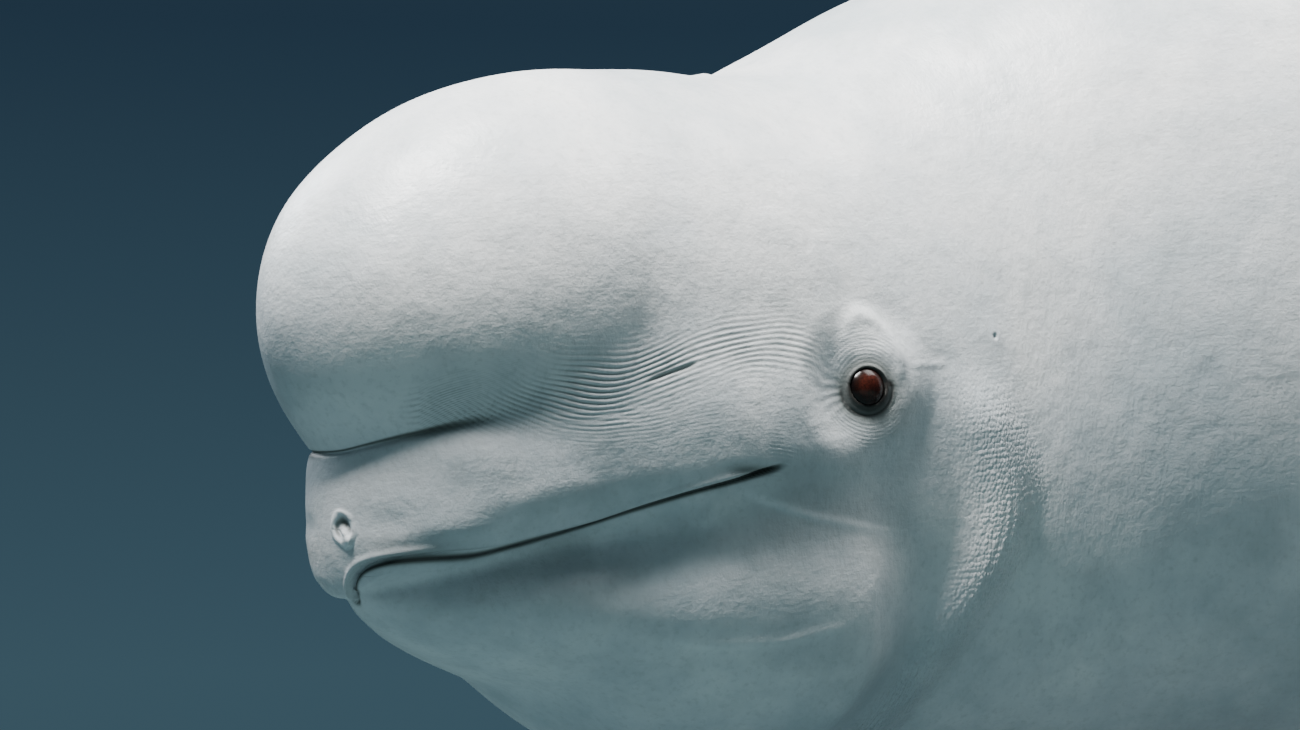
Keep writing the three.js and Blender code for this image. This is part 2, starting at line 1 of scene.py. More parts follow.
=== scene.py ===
# A beluga whale at life size on a plain display stand, in a dark blue studio.
import math

import bpy
import numpy as np
from mathutils import Matrix, Vector


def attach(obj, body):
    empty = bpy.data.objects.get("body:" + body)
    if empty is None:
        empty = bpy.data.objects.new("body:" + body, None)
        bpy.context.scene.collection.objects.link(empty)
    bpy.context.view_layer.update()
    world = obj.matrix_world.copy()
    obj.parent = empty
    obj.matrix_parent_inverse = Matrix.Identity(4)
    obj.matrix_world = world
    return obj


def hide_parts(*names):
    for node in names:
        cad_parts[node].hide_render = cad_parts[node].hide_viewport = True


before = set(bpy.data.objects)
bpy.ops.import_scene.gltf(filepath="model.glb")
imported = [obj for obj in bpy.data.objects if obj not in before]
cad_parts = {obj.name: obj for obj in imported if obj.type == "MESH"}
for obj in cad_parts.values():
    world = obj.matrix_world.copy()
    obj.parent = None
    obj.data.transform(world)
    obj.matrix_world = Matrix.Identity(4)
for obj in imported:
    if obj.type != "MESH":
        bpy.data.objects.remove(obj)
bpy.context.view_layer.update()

# Lengths of the body are in millimetres until the mesh is made, as in the drawing of the solids.
# The body is first drawn straight: x tailward from the beak, y to the animal's right, z up.
MM = 0.001
STOCK_END = 3960.0

# Heart of the head, from which rays reach its skin, and the angles in degrees at which the rows
# of points follow the crease over the beak and the mouth line under it.
HEART = np.array([250.0, 0.0, -45.0])
HEART_TILT = math.radians(14)
CREASE_ANGLE = 12.4
CREASE_SPREAD = 29.6
CREASE_REACH = 69.0
MOUTH_ANGLE = 8.0
SIDE_ANGLE = 46.0
SIDE_REACH = 95.0
BEAK_CROWDING = 1.4
FACE_CROWDING = 1.25

# Melon: an oval ball, rounded off into the nape.
MELON = {"x": 248, "z": 37, "length": 263, "width": 150, "height": 170}
NAPE_BLEND = 60

# Trunk stations: distance from the beak, top, bottom and half width.
TRUNK = [
    (250, 124, -262, 130),
    (330, 174, -294, 174),
    (420, 212, -314, 207),
    (550, 272, -334, 252),
    (750, 345, -362, 312),
    (1050, 394, -394, 362),
    (1500, 406, -412, 387),
    (1950, 380, -390, 370),
    (2400, 314, -320, 304),
    (2850, 224, -224, 207),
    (3250, 144, -134, 120),
    (3600, 84, -70, 62),
    (3850, 44, -36, 38),
    (3960, 14, -12, 14),
]

# Height of the trunk's axis at distances from the beak, and the trunk's round front end, which is
# the throat.
TRUNK_AXIS = [(250, -60), (550, -40), (1500, -8), (2400, -3), (3250, 4), (3960, 1)]
TRUNK_ROUNDNESS = 2.15
THROAT_START = 140
THROAT_FULL = 340
THROAT_SOFTNESS = 16

# Jaw stations behind each tip: distance, half height above, half height below, half width, middle.
UPPER_TIP = 14
UPPER_JAW = [
    (0, 0, 0, 0, -108),
    (8, 46, 40, 35, -106),
    (24, 76, 46, 62, -103),
    (50, 96, 50, 89, -101),
    (90, 98, 51, 113, -97),
    (140, 90, 48, 129, -88),
    (190, 82, 43, 141, -78),
    (250, 78, 39, 152, -69),
    (320, 80, 44, 163, -62),
]
LOWER_TIP = 26
LOWER_JAW = [
    (0, 0, 0, 0, -147),
    (10, 16, 12, 20, -149),
    (30, 27, 21, 41, -152),
    (58, 36, 31, 69, -156),
    (98, 46, 45, 98, -161),
    (158, 60, 62, 124, -170),
    (228, 76, 83, 147, -182),
    (308, 86, 101, 172, -192),
]
UPPER_ROUNDNESS = 2.5
LIP_ROUNDNESS = 2.4
LOWER_ROUNDNESS = 2.2
JAW_SINK_START = 320
JAW_SINK_END = 560
JAW_SINK = 260

# Widths over which the jaws run into each other and into the head.
JAW_BLEND = {"tip": 5, "growth": 25, "start": 110, "end": 240}
HEAD_BLEND = {"tip": 5, "growth": 65, "start": 60, "end": 230}

# Lean of the upper lip, and where it fades out toward the cheeks.
LIP_LEAN = 0.15
LEAN_START = 60
LEAN_END = 240

# Mouth line: distance from the beak and height. At the tip it dips, a little off the middle.
MOUTH_LINE = [
    (0, -127), (35, -132), (74, -136), (103, -132), (143, -122), (174, -110), (210, -97), (262, -83),
]
MOUTH_DIP = 22
MOUTH_DIP_WIDTH = 10
MOUTH_DIP_SIDE = 6
MOUTH_CORNER = 262

# Neck fold: height, and distance of its crest from the beak.
NECK_FOLD = [(-330, 380), (-245, 403), (-140, 457), (-40, 432)]
NECK_FOLD_HEIGHT = 9
NECK_FOLD_HALF = 46
NECK_FOLD_TOP = -15

# Low ridge along the back, in place of a fin.
RIDGE_START = 1850
RIDGE_END = 2560
RIDGE_HEIGHT = 26
RIDGE_HALF = 30

# Eyes, blowhole and ears.
EYE_X = 337
EYE_Z = -35
EYEBALL_RADIUS = 17
EYE_DEPTH = 13
EYE_OPENING = 12.0
BLOWHOLE_X = 340
BLOWHOLE_RADIUS = 30
BLOWHOLE_RIM = 2.2
BLOWHOLE_DEPTH = 9.0
EAR_X = 457
EAR_Z = -8

# Pose: head turned to the whale's left, front half nose down, and the tail drooping a little.
HEAD_TURN = 20
TURN_START = 360
TURN_END = 640
FRONT_PITCH = 6
PITCH_FADE_START = 1000
PITCH_FADE_END = 2400
TAIL_PITCH = -4
TAIL_START = 2400
TAIL_END = 3800
PIVOT = 1500
AXIS_HEIGHT = 790
BASE_MIDDLE = 1700

# Sight: the place that the photo was taken from, at the whale's front left and a little below.
SIGHT_AZIMUTH = math.radians(-24)
SIGHT_ELEVATION = math.radians(-6)
SIGHT_DISTANCE = 1.9
FOCAL_PIXELS = 2907.0
PHOTO_WIDTH = 1300
PHOTO_HEIGHT = 730
LIP_PIXEL = (340, 600)
LIP_POINT = np.array([14.0, 0.0, -150.0])

# Fineness of the skin: rings over the face and neck, and points round the body.
FINE = 1.0
BEAK_RINGS = int(110 * FINE)
FACE_RINGS = int(170 * FINE)
SEGMENTS = 4 * int(180 * FINE)
HEAD_STEP = 1.1 / FINE
HEAD_END = 600.0
TRUNK_RINGS = int(170 * FINE)


# Smooth step from 0 at a to 1 at b.
def smooth(a, b, x):
    t = np.clip((x - a) / (b - a), 0, 1)
    return t * t * (3 - 2 * t)


def bell(x, width):
    return np.exp(-((x / width) ** 2))


# Smooth curve through points (x, y), held level beyond its ends.
def curve(points):
    xs, ys = np.array(points, float).T
    last = len(xs) - 1
    before = np.maximum(np.arange(last + 1) - 1, 0)
    after = np.minimum(np.arange(last + 1) + 1, last)
    slopes = (ys[after] - ys[before]) / (xs[after] - xs[before])

    def value(x):
        u = np.clip(x, xs[0], xs[-1])
        i = np.clip(np.searchsorted(xs, u, side="right") - 1, 0, last - 1)
        width = xs[i + 1] - xs[i]
        t = (u - xs[i]) / width
        rise = t * t * (3 - 2 * t)
        leave = slopes[i] * t * (1 - t) ** 2
        arrive = slopes[i + 1] * t * t * (1 - t)
        return ys[i] * (1 - rise) + ys[i + 1] * rise + width * (leave - arrive)

    return value


# The smaller of two distances, with the join between the two forms rounded off.
def smooth_min(a, b, blend):
    t = np.clip(0.5 + 0.5 * (b - a) / blend, 0, 1)
    return b + (a - b) * t - blend * t * (1 - t)


# Distance to an oval section, from its middle, with its own half height above and below.
def oval_distance(y, dz, up, down, half, roundness):
    height = np.where(dz > 0, up, down)
    size = (np.abs(y) / half) ** roundness + (np.abs(dz) / height) ** roundness
    scale = np.maximum(size ** (1 / roundness), 1e-6)
    return np.hypot(y, dz) * (1 - 1 / scale)


def melon_distance(x, y, z):
    u = x - MELON["x"]
    w = z - MELON["z"]
    a, b, c = MELON["length"], MELON["width"], MELON["height"]
    scale = np.sqrt((u / a) ** 2 + (y / b) ** 2 + (w / c) ** 2)
    slope = np.sqrt((u / a**2) ** 2 + (y / b**2) ** 2 + (w / c**2) ** 2)
    return scale * (scale - 1) / np.maximum(slope, 1e-9)


trunk_top = curve([(row[0], row[1]) for row in TRUNK])
trunk_bottom = curve([(row[0], row[2]) for row in TRUNK])
trunk_half = curve([(row[0], row[3]) for row in TRUNK])
trunk_axis = curve(TRUNK_AXIS)


def trunk_distance(x, y, z):
    past = x - THROAT_FULL
    station = THROAT_FULL + (past + np.hypot(past, THROAT_SOFTNESS)) / 2
    back = np.clip((x - THROAT_START) / (THROAT_FULL - THROAT_START), 0, 1)
    swell = np.maximum(np.sqrt(1 - (1 - back) ** 2), 0.02)
    middle = trunk_axis(station)
    up = (trunk_top(station) - middle) * swell
    down = (middle - trunk_bottom(station)) * swell
    inner = oval_distance(y, z - middle, up, down, trunk_half(station) * swell, TRUNK_ROUNDNESS)
    front = np.sqrt((x - THROAT_START) ** 2 + y**2 + (z - middle) ** 2)
    return np.where(x < THROAT_START, front, inner)


# One jaw: an oval loft that grows from its tip as a round nose does.
def jaw(tip, rows, upper_roundness, lower_roundness):
    above, below, half, middle = (
        curve([(math.sqrt(row[0]), row[k]) for row in rows]) for k in (1, 2, 3, 4)
    )

    def distance(x, y, z):
        t = np.sqrt(np.maximum(x - tip, 0))
        dz = z - middle(t)
        sizes = [np.maximum(size(t), 0.5) for size in (above, below, half)]
        roundness = np.where(dz > 0, upper_roundness, lower_roundness)
        inner = oval_distance(y, dz, *sizes, roundness)
        return np.where(x < tip, np.sqrt((x - tip) ** 2 + y**2 + dz**2), inner)

    return distance


upper_jaw = jaw(UPPER_TIP, UPPER_JAW, UPPER_ROUNDNESS, LIP_ROUNDNESS)
lower_jaw = jaw(LOWER_TIP, LOWER_JAW, LOWER_ROUNDNESS, LOWER_ROUNDNESS)


# The upper lip leans: its right side hangs a little lower than its left.
def lean(x, y):
    return LIP_LEAN * y * (1 - smooth(LEAN_START, LEAN_END, x))


# Width over which two forms run into each other, growing from the tip of the beak rearward.
def blend_width(blend, x):
    return blend["tip"] + blend["growth"] * smooth(blend["start"], blend["end"], x)


# Signed distance to the smooth body, negative inside.
def body_distance(x, y, z):
    head = smooth_min(melon_distance(x, y, z), trunk_distance(x, y, z), NAPE_BLEND)
    upper = upper_jaw(x, y, z + lean(x, y))
    jaws = smooth_min(upper, lower_jaw(x, y, z), blend_width(JAW_BLEND, x))
    sink = JAW_SINK * smooth(JAW_SINK_START, JAW_SINK_END, x)
    return smooth_min(head, jaws + sink, blend_width(HEAD_BLEND, x))


# Distance along each ray to the outermost crossing of the surface: found by strides from far
# outside, and then closed in on by halving.
def reach(origins, directions, far=440.0, stride=16.0, halvings=15):
    shape = directions.shape[:-1]
    start = np.broadcast_to(origins, directions.shape).reshape(-1, 3)
    along = directions.reshape(-1, 3)

    def inside(t, which):
        p = start[which] + along[which] * t[:, None]
        return body_distance(p[:, 0], p[:, 1], p[:, 2]) < 0

    low = np.full(len(along), far)
    searching = np.arange(len(along))
    while len(searching):
        low[searching] -= stride
        hit = inside(low[searching], searching) | (low[searching] <= 0)
        searching = searching[~hit]
    high = low + stride
    everywhere = np.arange(len(along))
    for _ in range(halvings):
        middle = (low + high) / 2
        hit = inside(middle, everywhere)
        low = np.where(hit, middle, low)
        high = np.where(hit, high, middle)
    return ((low + high) / 2).reshape(shape)


# Ray directions from the heart of the head, psi from the beak's axis and phi round it from above.
def face_directions(psi, phi):
    tilt = HEART_TILT * np.cos(psi)
    zero = np.zeros_like(tilt)
    forward = np.stack([-np.cos(tilt), zero, -np.sin(tilt)], -1)
    upward = np.stack([-np.sin(tilt), zero, np.cos(tilt)], -1)
    sideways = np.array([0.0, 1.0, 0.0])
    round_axis = np.cos(phi)[..., None] * upward + np.sin(phi)[..., None] * sideways
    return np.cos(psi)[..., None] * forward + np.sin(psi)[..., None] * round_axis


# Angle from the beak's axis of the row that follows the crease over the beak and the mouth line
# under it.
def crease_angle(phi):
    side = np.degrees(np.abs(np.arctan2(np.sin(phi), np.cos(phi))))
    over = np.minimum(CREASE_ANGLE + CREASE_SPREAD * (side / CREASE_REACH) ** 2.6, SIDE_ANGLE)
    under = np.clip((180 - side) / (180 - SIDE_REACH), 0, 1)
    below = MOUTH_ANGLE + (SIDE_ANGLE - MOUTH_ANGLE) * under**3
    return np.radians(np.where(side < SIDE_REACH, over, below))


# Angles round the body, closest together along the sides where the mouth, eyes and ears are.
def turning_angles():
    dense = np.linspace(0, 2 * math.pi, 20001)
    side = np.degrees(np.abs(np.arctan2(np.sin(dense), np.cos(dense))))
    density = 1 + 2.0 * smooth(50, 75, side) * (1 - smooth(125, 150, side))
    total = np.concatenate([[0], np.cumsum((density[1:] + density[:-1]) / 2)])
    shares = np.linspace(0, total[-1], SEGMENTS + 1)[:-1]
    return -np.interp(shares, total, dense)


# Rows of points on the smooth body, from the beak to the end of the tail stock.
def body_grid():
    phi = turning_angles()
    crease = crease_angle(phi)
    inner = 1 - (1 - np.arange(1, BEAK_RINGS + 1) / BEAK_RINGS) ** BEAK_CROWDING
    outer = (np.arange(1, FACE_RINGS + 1) / FACE_RINGS) ** FACE_CROWDING
    psi = np.concatenate([
        inner[:, None] * crease[None],
        crease[None] + outer[:, None] * (math.pi / 2 - crease[None]),
    ])
    cap = face_directions(psi, np.broadcast_to(phi, psi.shape))
    face = HEART + cap * reach(HEART, cap)[..., None]
    heads = np.arange(HEART[0] + HEAD_STEP, HEAD_END, HEAD_STEP)
    t = np.arange(TRUNK_RINGS + 1) / TRUNK_RINGS
    trunks = HEAD_END + (STOCK_END - HEAD_END) * (0.45 * t + 0.55 * t * t)
    stations = np.concatenate([heads, trunks])
    middle = HEART[2] * (1 - smooth(HEART[0], 900, stations))
    origins = np.stack([stations, np.zeros_like(stations), middle], -1)[:, None]
    spokes = np.stack([np.zeros_like(phi), np.sin(phi), np.cos(phi)], -1)[None]
    spokes = np.broadcast_to(spokes, (len(stations), len(phi), 3))
    rear = origins + spokes * reach(origins, spokes)[..., None]
    return np.concatenate([face, rear])


def grid_normals(grid):
    along = np.gradient(grid, axis=0)
    around = (np.roll(grid, -1, 1) - np.roll(grid, 1, 1)) / 2
    normal = np.cross(around, along)
    length = np.linalg.norm(normal, axis=-1, keepdims=True)
    return normal / np.maximum(length, 1e-9)


# Sum of slanted waves that has no visible repeat, about -1 to 1.
def ripple(points, wavelength, seed, waves=7):
    random = np.random.default_rng(seed)
    total = np.zeros(points.shape[:-1])
    for _ in range(waves):
        direction = random.normal(size=3)
        direction /= np.linalg.norm(direction)
        size = wavelength * random.uniform(0.7, 1.5)
        total += np.sin(points @ direction * (2 * math.pi / size) + random.uniform(0, 6.28))
    return total / math.sqrt(waves / 2) * 0.6


# Frames of the bent spine, worked out by small steps.
def bent_spine():
    stride = 5.0
    x = np.arange(-100, 4300 + stride, stride)
    turn = np.radians(HEAD_TURN) * (1 - smooth(TURN_START, TURN_END, x))
    front = FRONT_PITCH * (1 - smooth(PITCH_FADE_START, PITCH_FADE_END, x))
    pitch = np.radians(front + TAIL_PITCH * smooth(TAIL_START, TAIL_END, x))
    along = np.stack([
        np.cos(turn) * np.cos(pitch), np.sin(turn) * np.cos(pitch), np.sin(pitch),
    ], -1)
    side = np.cross([0, 0, 1], along)
    side /= np.linalg.norm(side, axis=-1, keepdims=True)
    up = np.cross(along, side)
    place = np.concatenate([np.zeros((1, 3)), np.cumsum(along[:-1] * stride, 0)])
    place += np.array([PIVOT - BASE_MIDDLE, 0, AXIS_HEIGHT]) - place[np.searchsorted(x, PIVOT)]
    return x, place, side, up


SPINE = bent_spine()


# Bends straight points, in millimetres, into the pose, in metres.
def posed(points):
    x, place, side, up = SPINE

    def at(values):
        return np.stack([np.interp(points[..., 0], x, values[:, k]) for k in range(3)], -1)

    bent = at(place) + at(side) * points[..., 1:2] + at(up) * points[..., 2:3]
    return bent * MM


# Directions of the sight, and the lip point that the sketch plane passes through.
SIGHT_RIGHT = np.array([math.cos(SIGHT_AZIMUTH), math.sin(SIGHT_AZIMUTH), 0])
SIGHT_BACK = np.array([
    math.sin(SIGHT_AZIMUTH) * math.cos(SIGHT_ELEVATION),
    -math.cos(SIGHT_AZIMUTH) * math.cos(SIGHT_ELEVATION),
    math.sin(SIGHT_ELEVATION),
])
SIGHT_UP = np.cross(SIGHT_BACK, SIGHT_RIGHT)
LIP_PLACE = posed(LIP_POINT[None])[0]
SIGHT_ACROSS = (PHOTO_WIDTH / 2 - LIP_PIXEL[0]) / FOCAL_PIXELS * SIGHT_DISTANCE
SIGHT_ABOVE = (LIP_PIXEL[1] - PHOTO_HEIGHT / 2) / FOCAL_PIXELS * SIGHT_DISTANCE
SIGHT_PLACE = (
    LIP_PLACE + SIGHT_BACK * SIGHT_DISTANCE + SIGHT_RIGHT * SIGHT_ACROSS + SIGHT_UP * SIGHT_ABOVE
)


mouth_height = curve(MOUTH_LINE)
neck_fold_line = curve(NECK_FOLD)


# Height of the mouth line at a place beside the middle of the head.
def mouth_level(x, y):
    aside = np.hypot(y - MOUTH_DIP_SIDE, 2) - 2
    dip = MOUTH_DIP * np.exp(-aside / MOUTH_DIP_WIDTH) * (1 - smooth(20, 90, x))
    return mouth_height(x) - dip - lean(x, y)


# Neck fold and dorsal ridge, the fold a little softer than the solids have it.
def main_relief(p):
    x, y, z = p[..., 0], p[..., 1], p[..., 2]
    across = np.minimum(np.abs(x - neck_fold_line(z)) / NECK_FOLD_HALF, 1)
    down = 1 - smooth(NECK_FOLD_TOP - 60, NECK_FOLD_TOP, z)
    fold = NECK_FOLD_HEIGHT * np.cos(across * math.pi / 2) ** 2 * down
    along = np.sin(math.pi * np.clip((x - RIDGE_START) / (RIDGE_END - RIDGE_START), 0, 1))
    return fold + RIDGE_HEIGHT * along * bell(y, RIDGE_HALF) * (z > 0)


# Sketch plane: features of the face are placed as they are seen from the whale's front left, by
# millimetres right and up from the tip of the upper lip. Unless told otherwise, both sides of the
# head have the same places.
def sketch(p, mirrored=True):
    y = -np.abs(p[..., 1]) if mirrored else p[..., 1]
    near = posed(np.stack([p[..., 0], y, p[..., 2]], -1)) - LIP_PLACE
    scale = SIGHT_DISTANCE / (SIGHT_DISTANCE - near @ SIGHT_BACK)
    right = SIGHT_ACROSS * (1 - scale) + near @ SIGHT_RIGHT * scale
    up = SIGHT_ABOVE * (1 - scale) + near @ SIGHT_UP * scale
    return right / MM, up / MM


# Soft oval spot in the sketch plane, 1 in its middle and fading out at its half width and height.
def spot(right, up, middle, size):
    return bell(np.hypot((right - middle[0]) / size[0], (up - middle[1]) / size[1]), 1)


# Distance in the sketch plane to a line through points, and how far along it, from 0 to 1.
def line_distance(right, up, points):
    nearest = np.full(right.shape, 1e9)
    along = np.zeros(right.shape)
    spans = [math.dist(a, b) for a, b in zip(points, points[1:])]
    walked = 0.0
    for (a, b), span in zip(zip(points, points[1:]), spans):
        du, dv = (b[0] - a[0]) / span, (b[1] - a[1]) / span
        t = np.clip((right - a[0]) * du + (up - a[1]) * dv, 0, span)
        off = np.hypot(right - a[0] - t * du, up - a[1] - t * dv)
        closer = off < nearest
        nearest = np.where(closer, off, nearest)
        along = np.where(closer, (walked + t) / sum(spans), along)
        walked += span
    return nearest, along


# Ends of a line that fade in and out over a share of its length.
def faded(along, share):
    return smooth(0, share, along) * (1 - smooth(1 - share, 1, along))


# Lips: the upper one's rim hangs over the lower one, with a narrow groove between them.
LIP_RIM = 1.4
LIP_TUCK = 4.6
LIP_GROOVE = 6.0
LIP_GROOVE_HALF = 1.9


# The lips close more tightly on the right side of the tip.
def lip_share(x, y):
    return 1 - 0.95 * smooth(2, 12, y) * (1 - smooth(50, 100, x))


# How deep a place lies in the groove of the closed mouth, from 0 to 1. The shade painted in the
# groove follows it.
def mouth_depth(p):
    x, y, z = p[..., 0], p[..., 1], p[..., 2]
    front = 1 - smooth(MOUTH_CORNER - 10, MOUTH_CORNER + 3, x)
    return bell(z - mouth_level(x, y) + 1.0, LIP_GROOVE_HALF) * front * lip_share(x, y)


def lip_relief(p):
    x, y, z = p[..., 0], p[..., 1], p[..., 2]
    above = z - mouth_level(x, y)
    fade = lip_share(x, y) * (1 - smooth(MOUTH_CORNER - 60, MOUTH_CORNER + 10, x))
    rim = LIP_RIM * bell(above - 3.0, 2.8) * smooth(-0.8, 0.4, above) * fade
    tucked = -LIP_TUCK * smooth(-42, -4, above) * (1 - smooth(-1.8, 0.2, above)) * fade
    return rim + tucked - LIP_GROOVE * mouth_depth(p)


# Crisp valley where the beak comes out from under the melon.
CREASE_DEPTH = 2.0
CREASE_HALF = 2.4


# How deep a place lies in the crease, from 0 to 1, which also sets the shade painted in it.
def crease_depth(p):
    x, y, z = p[..., 0], p[..., 1], p[..., 2]
    apart = melon_distance(x, y, z) - upper_jaw(x, y, z + lean(x, y))
    return bell(apart, CREASE_HALF) * (1 - smooth(45, 90, x)) * (x < 120)


# Fan of fine wrinkles that leaves the crease and runs back to the eye, and its deepest furrow.
FLOW = curve([
    (52, 16), (78, 0), (105, -13), (131, -25), (157, -31), (183, -31),
    (209, -23.5), (235, -12.5), (261, -4.7), (288, -3.1), (314, -9.1), (340, -21),
])
FLOW_MIDDLE = curve([
    (52, 124), (91, 129), (131, 135), (170, 139), (209, 148), (248, 165), (288, 170), (314, 162),
])
FLOW_WIDTH = curve([(52, 12), (91, 19), (131, 22), (209, 19), (288, 18), (330, 11)])
FLOW_STEP = 3.7
FURROW = [(199, 142), (214, 148), (235, 155)]
FURROW_DEPTH = 1.5


def flow_wrinkles(p, right, up):
    window = smooth(34, 60, right) * (1 - smooth(290, 326, right)) * (p[..., 0] < 330)
    window = window * (1.35 - 0.45 * smooth(120, 230, right))
    mask = bell(up - FLOW_MIDDLE(right), FLOW_WIDTH(right)) * window
    line = (up - FLOW(right)) / FLOW_STEP + 0.42 * ripple(p, 42, 3)
    wave = np.cos(2 * math.pi * line)
    strength = 0.75 + 0.35 * ripple(p, 55, 4)
    ridge = 0.34 * wave - 0.16 * wave * wave
    off, along = line_distance(right, up, FURROW)
    return mask * strength * ridge - FURROW_DEPTH * bell(off, 1.5) * faded(along, 0.3)


# Patch of finer, slanting wrinkles on the upper lip, and faint ones over the whole lip.
def lip_wrinkles(p, right, up):
    slant = up + 0.5 * right
    wave = np.cos(2 * math.pi * (slant / 2.9 + 0.25 * ripple(p, 30, 6)))
    patch = spot(right, up, (90, 77), (32, 15))
    fine = np.cos(2 * math.pi * ((up - 0.55 * FLOW(right)) / 2.7 + 0.3 * ripple(p, 34, 7)))
    over = spot(right, up, (175, 118), (75, 16))
    return 0.2 * wave * patch + 0.1 * fine * over


# Soft cushions of the upper lip, and the dent between them behind the sore.
def lip_cushions(p, right, up):
    upper = 2.4 * spot(right, up, (78, 98), (40, 17))
    lower = 1.6 * spot(right, up, (84, 45), (34, 8))
    dent = -1.8 * spot(right, up, (34, 50), (20, 10))
    return (p[..., 0] < 260) * (upper + lower + dent)


# How far the skin round the eye, and the eye in it, lean forward.
EYE_SLOPE = 0.36


# Place of the left eye on the skin, and the directions outward, rearward and upward from it.
def eye_place():
    origin = np.array([[EYE_X, 0.0, EYE_Z]])
    out = reach(origin, np.array([[0.0, -1.0, 0.0]]))[0]
    place = np.array([EYE_X, -out, EYE_Z])
    steps = 2.0 * np.eye(3)
    slope = np.array([
        body_distance(*(place + step)) - body_distance(*(place - step)) for step in steps
    ])
    outward = slope / np.linalg.norm(slope)
    rearward = np.cross([0, 0, 1], outward)
    rearward /= np.linalg.norm(rearward)
    return place, outward, rearward, np.cross(outward, rearward)


EYE_PLACE, EYE_OUT, EYE_REAR, EYE_UP = eye_place()


# Places round the eye, in the plane of the skin there: rearward and upward.
def round_eye(p):
    near = np.stack([p[..., 0], -np.abs(p[..., 1]), p[..., 2]], -1) - EYE_PLACE
    return near @ EYE_REAR, near @ EYE_UP


# Depths and heights round each eye: its opening, the edge of the lids, the hollow they lie in,
# two folds under the lower lid, the brow's arch and bulge, and the fine rings of skin.
SOCKET_DEPTH = 15.0
LID_EDGE = 0.9
EYE_HOLLOW = 1.6
LOWER_FOLD = 1.2
SECOND_FOLD = 0.6
BROW_ARCH = 2.4
BROW_BULGE = 1.4
RING_HEIGHT = 0.22
RING_STEP = 2.6


def eye_relief(p):
    rear, up = round_eye(p)
    r = np.hypot(rear, up)
    sine = up / np.maximum(r, 1e-6)
    facing = EYE_SLOPE * rear * (1 - smooth(14, 62, r))
    socket = -SOCKET_DEPTH * (1 - smooth(EYE_OPENING - 1.2, EYE_OPENING + 1.0, r))
    margin = LID_EDGE * bell(r - EYE_OPENING - 2.2, 1.5)
    hollow = -EYE_HOLLOW * bell(r - 20, 11) * (1 - 0.5 * smooth(0, 0.8, sine))
    under = -LOWER_FOLD * bell(r - 18.5 + 1.5 * sine, 0.9) * smooth(-0.2, 0.4, -sine)
    second = -SECOND_FOLD * bell(r - 22.5, 0.9) * smooth(0.1, 0.7, -sine)
    arch = np.hypot((rear - 4) / 24, (up - 15) / 35)
    brow = BROW_ARCH * bell(arch - 1, 0.2) * smooth(-4, 18, up) * smooth(-26, 8, rear)
    bulge = BROW_BULGE * (1 - smooth(0.6, 1.1, arch)) * smooth(10, 26, up)
    rings = RING_HEIGHT * np.cos(2 * math.pi * (r / RING_STEP + 0.22 * ripple(p, 20, 8)))
    ringed = smooth(14, 17, r) * (1 - smooth(34, 48, r)) * smooth(0.1, 0.6, np.abs(sine))
    lids = socket + margin + under + second
    around = facing + hollow + brow + bulge + rings * ringed + eye_corner_lines(rear, up, p)
    return np.where((p[..., 0] > 200) & (r < 110), lids + around, 0)


# Short lines that spread from the front corner of the eye.
def eye_corner_lines(rear, up, p):
    r = np.hypot(rear, up)
    turn = np.arctan2(up + 2, -rear)
    wave = np.cos(2 * math.pi * (turn * 4.2 + 0.25 * ripple(p, 24, 9)))
    return 0.17 * wave * smooth(17, 22, r) * (1 - smooth(32, 58, r)) * bell(turn, 0.62)


# Ear: a pinhole on a faint swelling behind the eye, and the raised line that leads to it.
EAR_LINE = [(366, 152), (385, 154), (401, 154)]
EAR_LINE_HEIGHT = 0.5
EAR_SWELLING = 1.2
PINHOLE_DEPTH = 3.0


def ear_relief(p, right, up):
    r = np.hypot(p[..., 0] - EAR_X, p[..., 2] - EAR_Z)
    off, along = line_distance(right, up, EAR_LINE)
    ear = EAR_SWELLING * bell(r + 6, 13) - PINHOLE_DEPTH * bell(r, 1.5)
    return ear + EAR_LINE_HEIGHT * bell(off, 2.4) * faded(along, 0.3)


# Smaller folds: under the throat, along the jaw, at the mouth corner and behind the cheek.
THROAT_FOLD = [(186, -25), (240, -30), (290, -28), (330, -18), (350, -5)]
JAW_FOLD = [(24, -8), (60, -28), (105, -45)]
CHEEK_FOLD = [(256, 74), (275, 66), (310, 54), (370, 42)]
LIP_FOLD = [(232, 47), (248, 62), (258, 72)]
CORNER = (281, 88)
CORNER_PIT = (268, 85.5)


# A fold along a line of points, raised by its height and fading out at both ends.
def fold(right, up, points, height, width, share=0.25):
    off, along = line_distance(right, up, points)
    return height * bell(off, width) * faded(along, share)


def small_folds(p, right, up):
    throat = fold(right, up, THROAT_FOLD, 1.3, 4.0, 0.4)
    throat = throat - fold(right, up + 8, THROAT_FOLD, 0.9, 5.5, 0.4)
    jaw_fold = fold(right, up, JAW_FOLD, 0.9, 4.5, 0.4)
    cheek = fold(right, up, CHEEK_FOLD, 0.8, 3.0, 0.4) + fold(right, up, LIP_FOLD, 1.6, 4.0)
    far = np.hypot(right - CORNER[0], up - CORNER[1])
    pit = -2.2 * spot(right, up, CORNER_PIT, (13, 3.5))
    wave = np.cos(2 * math.pi * ((up + 0.010 * (right - CORNER[0]) ** 2) / 2.6))
    creases = 0.3 * wave * bell(far - 9, 8) * smooth(CORNER[0] - 2, CORNER[0] + 3, right)
    face = 1 - smooth(380, 470, p[..., 0])
    return face * (throat + jaw_fold + cheek + pit + creases)


# How far the beaded skin of the neck fold covers a place, from 0 to 1.
def beaded(p):
    x, z = p[..., 0], p[..., 2]
    off = x - neck_fold_line(np.minimum(z, -40))
    return np.exp(-np.abs((off - 6) / 36) ** 3) * (1 - smooth(-110, -5, z))


